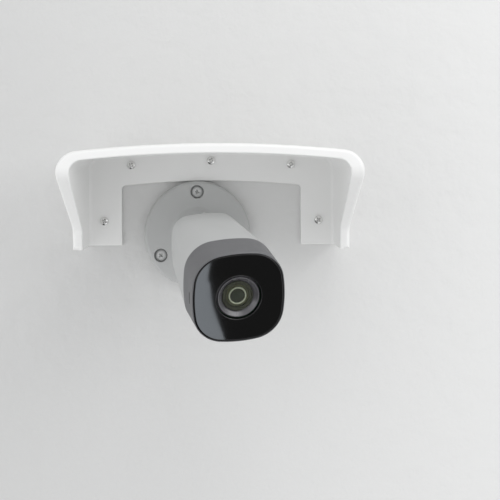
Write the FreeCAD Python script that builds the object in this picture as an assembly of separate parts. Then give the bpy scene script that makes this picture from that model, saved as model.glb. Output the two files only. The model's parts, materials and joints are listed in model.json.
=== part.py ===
# Wall-mounted bullet camera under its moulded weather hood.
# Millimetres. The wall is the plane Y = 0 and the object stands out of it towards -Y, with +Z up and
# +X to the right of someone who faces the wall. The origin is the centre of the camera's round base
# on the wall. "Out" is the distance from the wall, so a point that is 10 out has Y = -10.
import FreeCAD, Part
import math
import os
from FreeCAD import Placement, Rotation, Vector

os.makedirs("parts", exist_ok=True)

X_AXIS = Vector(1, 0, 0)
Y_AXIS = Vector(0, 1, 0)

# Hood, seen from the front
HOOD_CENTRE_X = 9.5
HOOD_DEPTH = 100.0
HOOD_WALL = 2.5
HOOD_INNER_HALF_AT_WALL = 82.0
HOOD_INNER_HALF_AT_FRONT = 88.0
HOOD_ROOF_AT_WALL = 56.0
HOOD_ROOF_AT_FRONT = 49.1
HOOD_ROOF_ARCH_R = 800.0
HOOD_CORNER_R = 8.5
HOOD_FOLD_R = 3.0
FLANGE_THICKNESS = 3.0

# Hood, seen from the side: its open edge runs down the front, back along a slope and down again
SIDE_BOTTOM_AT_WALL = -6.9
SIDE_BOTTOM_AT_STEP = -10.5
SIDE_STEP_OUT = 36.0
SIDE_SLOPE_START_Z = 2.5
SIDE_SLOPE_END_Z = 35.0
SIDE_STEP_R = 6.0
SIDE_NOSE_R = 10.0

# Rolled lip round the hood's open edge
LIP_DEPTH = 6.0
LIP_PROUD_AT_WALL = 3.0
LIP_PROUD_AT_FRONT = 6.3
LIP_PROUD_AT_ROOF = 3.6
LIP_CORNER_EXTRA = 6.0
LIP_FRONT_R = 2.4
LIP_INNER_R = 0.9

# Notch that the wall flange has round the camera's base
NOTCH_HALF_WIDTH = 59.9
NOTCH_ARCH_R = 580.0
NOTCH_CORNER_R = 3.0
NOTCH_SEAT_GAP = 0.3
NOTCH_EDGE_R = 0.5

# Screws through the hood's flange, measured from the hood's centre line
HOOD_SCREW_SIDE_X = 53.6
HOOD_SCREW_SIDE_Z = 46.6
HOOD_SCREW_TOP_Z = 49.3
HOOD_SCREW_LOW_X = 71.8
HOOD_SCREW_LOW_Z = 9.0
HOOD_HOLE_R = 2.2
HOOD_HEAD_R = 2.9
HOOD_HEAD_HEIGHT = 1.9
HOOD_NECK_R = 2.0
HOOD_THREAD_R = 1.75
HOOD_SCREW_IN_WALL = 20.0

# What the pan-head wall screws share: their point, and the cross recess as shares of the head
SCREW_POINT_LENGTH = 3.0
SCREW_TIP_R = 0.2
HEAD_ROUND_SHARE = 0.6
RECESS_REACH_SHARE = 0.55
RECESS_ARM_SHARE = 0.22
RECESS_DEPTH_SHARE = 0.65

# Camera base
BASE_R = 35.5
BASE_RIM_HEIGHT = 7.0
BASE_FRONT_DOME = 1.0
BASE_EDGE_R = 2.5
BASE_HUB_R = 15.5
BASE_HUB_FOOT_R = 18.5
BASE_HUB_HEIGHT = 9.6
BASE_RIM_WALL = 2.6
BASE_RECESS_DEPTH = 4.6
BASE_BOSS_R = 6.0
BASE_BOLT_CIRCLE_R = 28.25
BASE_SCREW_COUNT = 3
BASE_HOLE_R = 2.4
BASE_COUNTERBORE_R = 4.5
BASE_COUNTERBORE_FLOOR = 3.4
BASE_HEAD_R = 3.8
BASE_HEAD_HEIGHT = 2.3
BASE_NECK_R = 2.2
BASE_THREAD_R = 1.95
BASE_SCREW_IN_WALL = 24.0
BASE_RIB_COUNT = 6
BASE_RIB_THICKNESS = 1.6
BASE_RIB_START = 1.0
SOCKET_WALL = 2.0

# Swivel fork, which turns in the base about the wall's normal
SWIVEL_R = 11.0
RUNNING_CLEARANCE = 0.08
FACE_CLEARANCE = 0.3
RETAINER_R = 14.2
RETAINER_THICKNESS = 2.2
RETAINER_SLOT_WIDTH = 2.0
RETAINER_SLOT_DEPTH = 0.9
RETAINER_SLOT_KEEP = 1.0
CABLE_WAY_R = 5.5
GROMMET_WALL = 1.2
GROMMET_FLANGE_R = 10.0
COLLAR_HEIGHT = 3.4
PIVOT_OUT = 38.2
EAR_R = 9.0
EAR_THICKNESS = 4.0
EAR_ROOT_R = 2.0

# Knuckle, which tilts between the fork's ears
KNUCKLE_R = 8.5
KNUCKLE_HALF_WIDTH = 8.1
KNUCKLE_SIDE_GAP = 0.2
KNUCKLE_BORE_R = 3.0
PIVOT_SCREW_R = 2.94
PIVOT_SCREW_REACH = 4.4
PIVOT_HEAD_R = 4.0
PIVOT_HEAD_HEIGHT = 2.2
PIVOT_HEAD_ROUND = 0.7
PIVOT_HEX_SIDES = 6
PIVOT_HEX_ACROSS = 3.0
PIVOT_HEX_DEPTH = 1.5
NECK_R = 7.5
NECK_COLLAR_R = 10.5
NECK_COLLAR_THICKNESS = 2.5
NECK_WIRE_R = 3.1
NECK_TAIL_R = 6.0
NECK_TAIL_PAST_NUT = 1.0
NECK_NUT_R = 11.0
NECK_NUT_THICKNESS = 3.0
NECK_NUT_SLOT_WIDTH = 2.2
NECK_NUT_SLOT_DEPTH = 1.2
NECK_NUT_SLOT_KEEP = 1.2

# How the camera is aimed in the photograph: turned about the wall's normal, tipped down, then
# rolled about its own axis
AIM_TURN = -33.4
AIM_TIP = 25.0
AIM_ROLL = 31.0

# Camera body. Distances along its axis are measured from the pivot, and each section is a square
# with bowed sides and round corners: half width, side radius, corner radius
BODY_REAR = 15.0
BODY_REAR_HALF = 20.8
BODY_REAR_ROUND = 9.0
BODY_REAR_SIDE_R = 100.0
BODY_REAR_CORNER_R = 10.6
BODY_FRONT = 88.4
BODY_FRONT_HALF = 28.5
BODY_FRONT_SIDE_R = 100.0
BODY_FRONT_CORNER_R = 19.0
BODY_WALL = 2.2
BODY_REAR_WALL = 3.0
FACE = 113.8
FACE_HALF = 28.8
FACE_SIDE_R = 80.0
FACE_CORNER_R = 19.4
BEZEL_EDGE_R = 0.9
BEZEL_SPIGOT_LENGTH = 6.0
BEZEL_SPIGOT_WALL = 2.4
BEZEL_SPIGOT_GAP = 0.2
BODY_SEAL_SIZE = 1.2
BEZEL_SLOT_LENGTH = 7.5
BEZEL_SLOT_WIDTH = 1.7
BEZEL_SLOT_DEPTH = 1.2
BEZEL_SLOT_FROM_FACE = 8.0
BEZEL_SLOT_Z = -0.5

# Front window and what it sits on
WINDOW_THICKNESS = 2.0
WINDOW_RIM = 0.8
WINDOW_EDGE_GAP = 0.05
WINDOW_SEAL_THICKNESS = 0.4
WINDOW_SEAL_WIDTH = 1.4
WINDOW_LEDGE_WIDTH = 2.4
WINDOW_LEDGE_THICKNESS = 1.8
WINDOW_OPENING_R = 14.0
WINDOW_OPENING_BEVEL = 0.5

# Lens, measured back from the face
SHROUD_R = 13.6
SHROUD_SETBACK = 0.7
SHROUD_MOUTH_R = 12.6
SHROUD_THROAT_R = 9.6
SHROUD_THROAT_SETBACK = 3.4
BARREL_HEAD_R = 9.5
BARREL_HEAD_SETBACK = 3.0
BARREL_HEAD_LENGTH = 5.0
BARREL_THREAD_R = 6.0
BARREL_LENGTH = 16.0
BARREL_STEP_R = 7.3
BARREL_STEP_DEPTH = 0.8
BARREL_SEAT_R = 5.6
BARREL_SEAT_DEPTH = 1.9
BARREL_TUNNEL_R = 4.2
LENS_RING_R = 5.5
LENS_RING_INNER_R = 4.95
LENS_RING_THICKNESS = 0.8
FRONT_LENS_R = 9.4
FRONT_LENS_EDGE = 0.5
FRONT_LENS_RISE = 1.9
FRONT_LENS_WALL = 0.5
INNER_LENS_R = 4.9
INNER_LENS_EDGE = 1.0
INNER_LENS_RISE = 1.2
REAR_LENS_R = 4.1
REAR_LENS_THICKNESS = 2.0
REAR_LENS_SETBACK = 14.0

# Boards and what carries them, measured back from the face
CHASSIS_SETBACK = 7.0
CHASSIS_THICKNESS = 2.0
CHASSIS_GAP = 0.3
LED_BOARD_THICKNESS = 1.4
LED_BOARD_GAP = 0.7
LED_BOARD_HOLE_GAP = 0.1
LED_R = 1.5
LED_EDGE = 0.7
LED_DOME = 0.9
LED_CIRCLE_R = 18.5
LED_COUNT = 4
HOLDER_HALF = 8.0
HOLDER_FOOT_HALF_LENGTH = 11.0
HOLDER_FOOT_HALF_WIDTH = 4.8
HOLDER_FOOT_HEIGHT = 2.0
HOLDER_LENGTH = 8.0
HOLDER_ROOM_HALF = 6.0
HOLDER_ROOM_DEPTH = 3.4
THREAD_CLEARANCE = 0.05
SENSOR_HALF_WIDTH = 4.6
SENSOR_HALF_HEIGHT = 3.6
SENSOR_THICKNESS = 1.2
SENSOR_BOARD_SETBACK = 21.5
BOARD_THICKNESS = 1.6
BOARD_HALF = 19.5
BOARD_CORNER_R = 5.0
MAIN_BOARD_SETBACK = 44.0
PILLAR_X = 15.5
PILLAR_R = 2.4
PILLAR_BORE_R = 1.25
BOARD_SCREW_R = 1.2
BOARD_SCREW_LENGTH = 6.0
BOARD_SCREW_HEAD_R = 2.2
BOARD_SCREW_HEAD_HEIGHT = 1.4
BOARD_SCREW_SLOT_WIDTH = 0.6
BOARD_SCREW_SLOT_DEPTH = 0.6
BOARD_HOLE_R = 1.4
PROCESSOR_HALF = 6.5
PROCESSOR_THICKNESS = 1.6
HEAT_SINK_HALF = 8.0
HEAT_SINK_BASE = 1.2
HEAT_SINK_FIN_HEIGHT = 4.0
HEAT_SINK_FIN_THICKNESS = 0.9
HEAT_SINK_FIN_COUNT = 6
PLUG_SOCKET_SIZE = (10.0, 6.0, 5.0)
PLUG_SOCKET_Z = -14.5
PLUG_SOCKET_WALL = 0.8
PLUG_SOCKET_DEPTH = 4.0

# How far cutters run past what they cut, how far the hood's cutting prisms reach, how far beside an
# edge a probe looks, and how close counts as touching
CUT_MARGIN = 1.0
FAR = 400.0
EDGE_PROBE = 0.5
TOUCH = 1e-3


def cylinder(radius, out_start, out_end, x=0.0, z=0.0):
    """A cylinder along the wall's normal between two distances out."""
    return Part.makeCylinder(radius, out_end - out_start, Vector(x, -out_start, z), -Y_AXIS)


def ring(outer_r, inner_r, out_start, out_end):
    """A plain ring about the Y axis."""
    hole = cylinder(inner_r, out_start - CUT_MARGIN, out_end + CUT_MARGIN)
    return cylinder(outer_r, out_start, out_end).cut(hole)


def block(half_x, half_z, out_start, out_end, x=0.0, z=0.0):
    """A box centred on x and z between two distances out."""
    corner = Vector(x - half_x, -out_end, z - half_z)
    return Part.makeBox(2 * half_x, out_end - out_start, 2 * half_z, corner)


def turned(profile):
    """A solid of revolution about the Y axis from (radius, out) points."""
    points = [Vector(radius, -out, 0) for radius, out in profile]
    return Part.Face(Part.makePolygon(points + points[:1])).revolve(Vector(), Y_AXIS, 360)


def fuse_all(shapes):
    """One solid from several that meet."""
    return shapes[0].multiFuse(shapes[1:]).removeSplitter()


def around(shape, count, start_deg=0.0):
    """Copies of a shape spread evenly about the Y axis."""
    copies = []
    for i in range(count):
        copy = shape.copy()
        copy.rotate(Vector(), Y_AXIS, start_deg + i * 360.0 / count)
        copies.append(copy)
    return copies


def mirrored_pair(shape):
    """A shape and its mirror image across the plane X = 0."""
    return [shape, shape.mirror(Vector(), X_AXIS)]


def arc(start, middle, end):
    return Part.Arc(start, middle, end).toShape()


def squircle(half, side_r, corner_r, out):
    """A closed wire about the Y axis: a square with bowed sides that run smoothly into round corners."""
    side_centre = half - side_r
    reach = side_r - corner_r
    corner = (side_centre + math.sqrt(2 * reach**2 - side_centre**2)) / 2
    far_end = corner + corner_r * (corner - side_centre) / reach
    near_end = corner + corner_r * corner / reach
    diagonal = corner + corner_r / math.sqrt(2)
    edges = []
    for x, z in ((1, 0), (0, 1), (-1, 0), (0, -1)):
        ahead = Vector(x, 0, z)
        beside = Vector(-z, 0, x)
        start = ahead * far_end - beside * near_end
        side_end = ahead * far_end + beside * near_end
        corner_end = ahead * near_end + beside * far_end
        edges.append(arc(start, ahead * half, side_end))
        edges.append(arc(side_end, (ahead + beside) * diagonal, corner_end))
    wire = Part.Wire(edges)
    wire.translate(Vector(0, -out, 0))
    return wire


def squircle_solid(sections):
    """A straight-sided solid through squircle sections, each (half, side_r, corner_r, out)."""
    return Part.makeLoft([squircle(*section) for section in sections], True, True)


def shrunk(section, by):
    """The same section with its outline moved inwards."""
    half, side_r, corner_r, out = section
    return (half - by, side_r - by, corner_r - by, out)


def between(section_a, section_b, out):
    """The section of the straight-sided solid through two sections, at a distance along its axis."""
    share = (out - section_a[3]) / (section_b[3] - section_a[3])
    sizes = [a + (b - a) * share for a, b in zip(section_a[:3], section_b[:3])]
    return (*sizes, out)


def cross_recess(radius, depth, out, x=0.0, z=0.0):
    """The cutter for a cross-head recess that is sunk from a distance out."""
    arms = []
    arm = radius * RECESS_ARM_SHARE
    for half_x, half_z in ((radius, arm), (arm, radius)):
        arms.append(block(half_x, half_z, out - depth, out + CUT_MARGIN, x, z))
    return arms[0].fuse(arms[1])


def wall_screw(head_r, head_height, neck_r, thread_r, seat_out, in_wall):
    """A pan-head wall screw on the Y axis, its head seated at a distance out and its thread in the wall."""
    top = seat_out + head_height
    head = cylinder(head_r, seat_out, top)
    head = head.makeFillet(head_height * HEAD_ROUND_SHARE, end_edges(head, top))
    neck = cylinder(neck_r, 0.0, seat_out)
    straight = in_wall - SCREW_POINT_LENGTH
    thread = cylinder(thread_r, -straight, 0.0)
    point = Part.makeCone(thread_r, SCREW_TIP_R, SCREW_POINT_LENGTH, Vector(0, straight, 0), Y_AXIS)
    screw = fuse_all([head, neck, thread, point])
    recess = cross_recess(head_r * RECESS_REACH_SHARE, head_height * RECESS_DEPTH_SHARE, top)
    return screw.cut(recess)


def end_edges(shape, out):
    """The edges of a shape that lie in the plane at a distance out."""
    found = []
    for edge in shape.Edges:
        box = edge.optimalBoundingBox(False)
        if abs(box.YMin + out) < TOUCH and abs(box.YMax + out) < TOUCH:
            found.append(edge)
    return found


def moved(shape, x, z):
    copy = shape.copy()
    copy.translate(Vector(x, 0, z))
    return copy


def rounded_prism(corners):
    """A prism right across the hood's width, from its side view as (out, z, radius) corners."""
    spots = [Vector(0, -out, z) for out, z, _ in corners]
    arrive, leave, arcs = [], [], []
    for i, (_, _, radius) in enumerate(corners):
        here = spots[i]
        back = (spots[i - 1] - here).normalize()
        ahead = (spots[(i + 1) % len(spots)] - here).normalize()
        half_angle = back.getAngle(ahead) / 2
        inwards = (back + ahead).normalize()
        arrive.append(here + back * (radius / math.tan(half_angle)))
        leave.append(here + ahead * (radius / math.tan(half_angle)))
        middle = here + inwards * (radius / math.sin(half_angle) - radius)
        if radius:
            arcs.append(arc(arrive[-1], middle, leave[-1]))
    lines = [Part.makeLine(a, b) for a, b in zip(leave, arrive[1:] + arrive[:1])]
    return Part.Face(Part.Wire(Part.__sortEdges__(lines + arcs)))


def across_hood(face):
    """A side-view face drawn out across the whole width."""
    wide = face.copy()
    wide.translate(Vector(-FAR, 0, 0))
    return wide.extrude(Vector(2 * FAR, 0, 0))


def arched_wire(half, top, corner_r, arch_r, low, out):
    """A closed wire on the hood's centre line: flat bottom, upright sides, round corners, arched top."""
    arch_z = top - arch_r
    corner_x = half - corner_r
    corner_z = arch_z + math.sqrt((arch_r - corner_r) ** 2 - corner_x**2)
    lean = math.atan2(corner_z - arch_z, corner_x)
    end_x = arch_r * math.cos(lean)
    end_z = arch_z + arch_r * math.sin(lean)
    mid_x = corner_x + corner_r * math.cos(lean / 2)
    mid_z = corner_z + corner_r * math.sin(lean / 2)

    def spot(x, z):
        return Vector(HOOD_CENTRE_X + x, -out, z)

    edges = [
        Part.makeLine(spot(-half, low), spot(half, low)),
        Part.makeLine(spot(half, low), spot(half, corner_z)),
        arc(spot(half, corner_z), spot(mid_x, mid_z), spot(end_x, end_z)),
        arc(spot(end_x, end_z), spot(0, top), spot(-end_x, end_z)),
        arc(spot(-end_x, end_z), spot(-mid_x, mid_z), spot(-half, corner_z)),
        Part.makeLine(spot(-half, corner_z), spot(-half, low)),
    ]
    return Part.Wire(edges)


def hood_form(layer, out_start, out_end):
    """The solid that the hood's sections sweep between two distances out.

    layer says how far it stands off the inner skin: sides at the wall, sides at the front, roof,
    and what the corner radius gains."""
    side_at_wall, side_at_front, roof_extra, corner_extra = layer
    wires = []
    for out in (out_start, out_end):
        share = out / HOOD_DEPTH
        half_at_wall = HOOD_INNER_HALF_AT_WALL + side_at_wall
        half_at_front = HOOD_INNER_HALF_AT_FRONT + side_at_front
        half = half_at_wall + (half_at_front - half_at_wall) * share
        roof = HOOD_ROOF_AT_WALL + (HOOD_ROOF_AT_FRONT - HOOD_ROOF_AT_WALL) * share + roof_extra
        wires.append(arched_wire(half, roof, HOOD_CORNER_R + corner_extra, HOOD_ROOF_ARCH_R, -FAR, out))
    return Part.makeLoft(wires, True, True)


def behind_open_edge(setback=0.0):
    """Everything behind the hood's open edge, or behind a line set back from that edge."""
    face = rounded_prism(
        [
            (SIDE_STEP_OUT, -FAR, 0),
            (SIDE_STEP_OUT, SIDE_SLOPE_START_Z, SIDE_STEP_R),
            (HOOD_DEPTH, SIDE_SLOPE_END_Z, SIDE_NOSE_R),
            (HOOD_DEPTH, FAR, 0),
            (-FAR, FAR, 0),
            (-FAR, -FAR, 0),
        ]
    )
    if setback:
        face = face.makeOffset2D(-setback)
    return across_hood(face)


def above_lower_edge():
    """Everything above the cheeks' lower edges."""
    return across_hood(
        rounded_prism(
            [
                (-FAR, SIDE_BOTTOM_AT_WALL, 0),
                (0, SIDE_BOTTOM_AT_WALL, 0),
                (SIDE_STEP_OUT, SIDE_BOTTOM_AT_STEP, 0),
                (FAR, SIDE_BOTTOM_AT_STEP, 0),
                (FAR, FAR, 0),
                (-FAR, FAR, 0),
            ]
        )
    )


def notch_cutter():
    """The opening in the hood's flange, whose arched top edge rests on the camera base's rim."""
    drop_at_base = NOTCH_ARCH_R - math.sqrt(NOTCH_ARCH_R**2 - HOOD_CENTRE_X**2)
    top = BASE_R + NOTCH_SEAT_GAP + drop_at_base
    wire = arched_wire(NOTCH_HALF_WIDTH, top, NOTCH_CORNER_R, NOTCH_ARCH_R, -FAR, -CUT_MARGIN)
    return Part.Face(wire).extrude(Vector(0, -FLANGE_THICKNESS - 2 * CUT_MARGIN, 0))


def hood_screw_spots():
    """Where the hood's five screws go, as (x, z)."""
    spots = [(HOOD_CENTRE_X, HOOD_SCREW_TOP_Z)]
    for side in (-1, 1):
        spots.append((HOOD_CENTRE_X + side * HOOD_SCREW_SIDE_X, HOOD_SCREW_SIDE_Z))
        spots.append((HOOD_CENTRE_X + side * HOOD_SCREW_LOW_X, HOOD_SCREW_LOW_Z))
    return spots


def edge_middle(edge):
    return edge.valueAt((edge.FirstParameter + edge.LastParameter) / 2)


def faces_front(edge, before_edge):
    """Whether an edge lies on the hood's open edge, so that a point just past it is outside."""
    middle = edge_middle(edge)
    down = EDGE_PROBE if middle.z < SIDE_SLOPE_END_Z else 0.0
    return not before_edge.isInside(middle - Vector(0, EDGE_PROBE, down), TOUCH, True)


def lip_front_edges(lip, before_edge):
    """The lip's outer front edges, without those across it or at its lower ends."""
    found = []
    for edge in lip.Edges:
        runs_along = edge.Length > LIP_DEPTH + EDGE_PROBE
        above_ends = edge.BoundBox.ZMin > SIDE_BOTTOM_AT_STEP - CUT_MARGIN
        if runs_along and above_ends and faces_front(edge, before_edge):
            found.append(edge)
    return found


def lip_mouth_edges(shell, before_edge, inner):
    """The edges where the lip's front meets the hood's inner skin."""
    skin = inner.Shells[0]
    found = []
    for edge in shell.Edges:
        above_ends = edge.BoundBox.ZMax > SIDE_BOTTOM_AT_STEP + CUT_MARGIN
        if above_ends and faces_front(edge, before_edge):
            if skin.distToShape(Part.Vertex(edge_middle(edge)))[0] < TOUCH:
                found.append(edge)
    return found


def notch_front_edges(shell):
    """The notch's edges on the flange's front face."""
    found = []
    for edge in end_edges(shell, FLANGE_THICKNESS):
        middle = edge_middle(edge)
        within = abs(middle.x - HOOD_CENTRE_X) < NOTCH_HALF_WIDTH + TOUCH
        if within and middle.z < BASE_R + NOTCH_SEAT_GAP + EDGE_PROBE:
            found.append(edge)
    return found


def make_hood_shell():
    """The moulded hood: roof, two cheeks, wall flange with its notch, and a rolled lip."""
    beyond = HOOD_DEPTH + 2 * LIP_DEPTH
    inner = hood_form((0, 0, 0, 0), FLANGE_THICKNESS, beyond)
    folds = [e for e in end_edges(inner, FLANGE_THICKNESS) if e.BoundBox.ZMax > 0]
    inner = inner.makeFillet(HOOD_FOLD_R, folds)
    outer = hood_form((HOOD_WALL,) * 4, 0, beyond)
    lip_layer = (
        HOOD_WALL + LIP_PROUD_AT_WALL,
        HOOD_WALL + LIP_PROUD_AT_FRONT,
        HOOD_WALL + LIP_PROUD_AT_ROOF,
        LIP_CORNER_EXTRA,
    )
    before_edge = behind_open_edge()
    above = above_lower_edge()
    lip = hood_form(lip_layer, 0, beyond).common(before_edge).common(above)
    lip = lip.cut(behind_open_edge(LIP_DEPTH))
    lip = lip.makeFillet(LIP_FRONT_R, lip_front_edges(lip, before_edge))
    shell = outer.common(before_edge).common(above).fuse(lip).cut(inner).removeSplitter()
    shell = shell.makeFillet(LIP_INNER_R, lip_mouth_edges(shell, before_edge, inner))
    shell = shell.cut(notch_cutter())
    shell = shell.makeFillet(NOTCH_EDGE_R, notch_front_edges(shell))
    for x, z in hood_screw_spots():
        shell = shell.cut(cylinder(HOOD_HOLE_R, -CUT_MARGIN, FLANGE_THICKNESS + CUT_MARGIN, x, z))
    return shell


def make_hood_screws():
    screw = wall_screw(
        HOOD_HEAD_R, HOOD_HEAD_HEIGHT, HOOD_NECK_R, HOOD_THREAD_R, FLANGE_THICKNESS, HOOD_SCREW_IN_WALL
    )
    return Part.makeCompound([moved(screw, x, z) for x, z in hood_screw_spots()])


def base_screw_spots():
    """Where the base's screws go, as (x, z): the first is straight up."""
    spots = []
    for i in range(BASE_SCREW_COUNT):
        angle = math.pi / 2 + i * 2 * math.pi / BASE_SCREW_COUNT
        spots.append((BASE_BOLT_CIRCLE_R * math.cos(angle), BASE_BOLT_CIRCLE_R * math.sin(angle)))
    return spots


def make_base_plate():
    """The round base: a domed front skin over a ribbed recess, with screw bosses and a swivel socket."""
    bore = SWIVEL_R + RUNNING_CLEARANCE
    front = turned(
        [
            (0, BASE_RECESS_DEPTH),
            (BASE_R, BASE_RECESS_DEPTH),
            (BASE_R, BASE_RIM_HEIGHT),
            (BASE_HUB_FOOT_R, BASE_RIM_HEIGHT + BASE_FRONT_DOME),
            (BASE_HUB_R, BASE_HUB_HEIGHT),
            (0, BASE_HUB_HEIGHT),
        ]
    )
    rim = ring(BASE_R, BASE_R - BASE_RIM_WALL, 0, BASE_RECESS_DEPTH)
    socket_r = RETAINER_R + FACE_CLEARANCE
    socket = ring(socket_r + SOCKET_WALL, socket_r, BASE_RIB_START, BASE_RECESS_DEPTH)
    rib_start = socket_r + SOCKET_WALL / 2
    rib_end = BASE_R - BASE_RIM_WALL / 2
    rib = block(
        (rib_end - rib_start) / 2,
        BASE_RIB_THICKNESS / 2,
        BASE_RIB_START,
        BASE_RECESS_DEPTH,
        (rib_start + rib_end) / 2,
    )
    half_pitch_from_top = 180.0 / BASE_RIB_COUNT - 90.0
    ribs = around(rib, BASE_RIB_COUNT, half_pitch_from_top)
    bosses = [cylinder(BASE_BOSS_R, 0, BASE_RECESS_DEPTH, x, z) for x, z in base_screw_spots()]
    front = front.makeFillet(BASE_EDGE_R, end_edges(front, BASE_RIM_HEIGHT))
    whole = fuse_all([front, rim, socket] + ribs + bosses)
    whole = whole.cut(cylinder(bore, -CUT_MARGIN, BASE_HUB_HEIGHT + CUT_MARGIN))
    whole = whole.cut(cylinder(socket_r, -CUT_MARGIN, BASE_RECESS_DEPTH))
    for x, z in base_screw_spots():
        whole = whole.cut(cylinder(BASE_HOLE_R, -CUT_MARGIN, BASE_HUB_HEIGHT, x, z))
        whole = whole.cut(cylinder(BASE_COUNTERBORE_R, BASE_COUNTERBORE_FLOOR, BASE_HUB_HEIGHT, x, z))
    return whole.removeSplitter()


def make_base_screws():
    screw = wall_screw(
        BASE_HEAD_R, BASE_HEAD_HEIGHT, BASE_NECK_R, BASE_THREAD_R, BASE_COUNTERBORE_FLOOR, BASE_SCREW_IN_WALL
    )
    return Part.makeCompound([moved(screw, x, z) for x, z in base_screw_spots()])


def collar_start():
    """How far out the fork's collar starts, a running gap in front of the base's hub."""
    return BASE_HUB_HEIGHT + FACE_CLEARANCE


def retainer_top():
    """How far out the swivel retainer ends, a running gap behind the base's front skin."""
    return BASE_RECESS_DEPTH - FACE_CLEARANCE


def make_swivel_fork():
    """Spigot in the base, collar in front of it and two ears that carry the knuckle."""
    spigot = cylinder(SWIVEL_R, retainer_top() - RETAINER_THICKNESS, collar_start())
    floor = collar_start() + COLLAR_HEIGHT
    collar = cylinder(BASE_HUB_R, collar_start(), floor)
    gap = KNUCKLE_HALF_WIDTH + KNUCKLE_SIDE_GAP
    ear_x = gap + EAR_THICKNESS / 2
    plate = block(EAR_THICKNESS / 2, EAR_R, floor - COLLAR_HEIGHT / 2, PIVOT_OUT, ear_x)
    end = Part.makeCylinder(EAR_R, EAR_THICKNESS, Vector(gap, -PIVOT_OUT, 0), X_AXIS)
    ear = plate.fuse(end).removeSplitter()
    fork = fuse_all([spigot, collar] + mirrored_pair(ear))
    roots = [e for e in end_edges(fork, floor) if abs(abs(edge_middle(e).x) - gap) < TOUCH]
    fork = fork.makeFillet(EAR_ROOT_R, roots)
    fork = fork.cut(cylinder(CABLE_WAY_R + GROMMET_WALL, 0, floor + CUT_MARGIN))
    side = 2 * (gap + EAR_THICKNESS)
    hole = Part.makeCylinder(KNUCKLE_BORE_R, side, Vector(-side / 2, -PIVOT_OUT, 0), X_AXIS)
    return fork.cut(hole)


def make_swivel_retainer():
    """The ring nut on the spigot's tail that holds the fork in the base."""
    start = retainer_top() - RETAINER_THICKNESS
    nut = ring(RETAINER_R, SWIVEL_R, start, retainer_top())
    slot_floor = start + RETAINER_SLOT_DEPTH
    slot = block(RETAINER_R + CUT_MARGIN, RETAINER_SLOT_WIDTH / 2, start - CUT_MARGIN, slot_floor)
    kept = cylinder(SWIVEL_R + RETAINER_SLOT_KEEP, start - 2 * CUT_MARGIN, retainer_top())
    slots = slot.cut(kept)
    cross = slots.copy()
    cross.rotate(Vector(), Y_AXIS, 90)
    return nut.cut(slots).cut(cross)


def make_cable_grommet():
    """The rubber sleeve in the spigot that guards the cable way."""
    start = retainer_top() - RETAINER_THICKNESS
    sleeve = ring(CABLE_WAY_R + GROMMET_WALL, CABLE_WAY_R, start, collar_start() + COLLAR_HEIGHT)
    flange = ring(GROMMET_FLANGE_R, CABLE_WAY_R, start - GROMMET_WALL, start)
    return sleeve.fuse(flange).removeSplitter()


def make_pivot_screws():
    """The two shoulder screws that the knuckle tilts on, one in each ear."""
    inner = KNUCKLE_HALF_WIDTH - PIVOT_SCREW_REACH
    outer = KNUCKLE_HALF_WIDTH + KNUCKLE_SIDE_GAP + EAR_THICKNESS
    centre = -PIVOT_OUT
    shank = Part.makeCylinder(PIVOT_SCREW_R, outer - inner, Vector(inner, centre, 0), X_AXIS)
    head = Part.makeCylinder(PIVOT_HEAD_R, PIVOT_HEAD_HEIGHT, Vector(outer, centre, 0), X_AXIS)
    rim = [e for e in head.Edges if e.BoundBox.XMin > outer + PIVOT_HEAD_HEIGHT - TOUCH]
    head = head.makeFillet(PIVOT_HEAD_ROUND, rim)
    corner_r = PIVOT_HEX_ACROSS / math.sqrt(3)
    floor = outer + PIVOT_HEAD_HEIGHT - PIVOT_HEX_DEPTH
    hexagon = []
    for i in range(PIVOT_HEX_SIDES + 1):
        angle = i * 2 * math.pi / PIVOT_HEX_SIDES
        hexagon.append(Vector(floor, centre + corner_r * math.cos(angle), corner_r * math.sin(angle)))
    socket = Part.Face(Part.makePolygon(hexagon)).extrude(Vector(PIVOT_HEAD_HEIGHT, 0, 0))
    screw = shank.fuse(head).removeSplitter().cut(socket)
    return Part.makeCompound(mirrored_pair(screw))


def make_tilt_knuckle():
    """The barrel between the ears, its neck, the collar behind the body and the threaded tail."""
    left = Vector(-KNUCKLE_HALF_WIDTH, 0, 0)
    barrel = Part.makeCylinder(KNUCKLE_R, 2 * KNUCKLE_HALF_WIDTH, left, X_AXIS)
    collar_end = BODY_REAR - FACE_CLEARANCE
    nut_start = BODY_REAR + BODY_REAR_WALL + FACE_CLEARANCE
    neck = cylinder(NECK_R, 0, nut_start)
    collar = cylinder(NECK_COLLAR_R, collar_end - NECK_COLLAR_THICKNESS, collar_end)
    tail_end = nut_start + NECK_NUT_THICKNESS + NECK_TAIL_PAST_NUT
    tail = cylinder(NECK_TAIL_R, nut_start - CUT_MARGIN, tail_end)
    knuckle = fuse_all([barrel, neck, collar, tail])
    knuckle = knuckle.cut(cylinder(NECK_WIRE_R, -KNUCKLE_R - CUT_MARGIN, tail_end + CUT_MARGIN))
    depth = PIVOT_SCREW_REACH + KNUCKLE_SIDE_GAP
    hole = Part.makeCylinder(
        KNUCKLE_BORE_R, depth + CUT_MARGIN, Vector(KNUCKLE_HALF_WIDTH - depth, 0, 0), X_AXIS
    )
    for side in mirrored_pair(hole):
        knuckle = knuckle.cut(side)
    return knuckle


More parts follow.
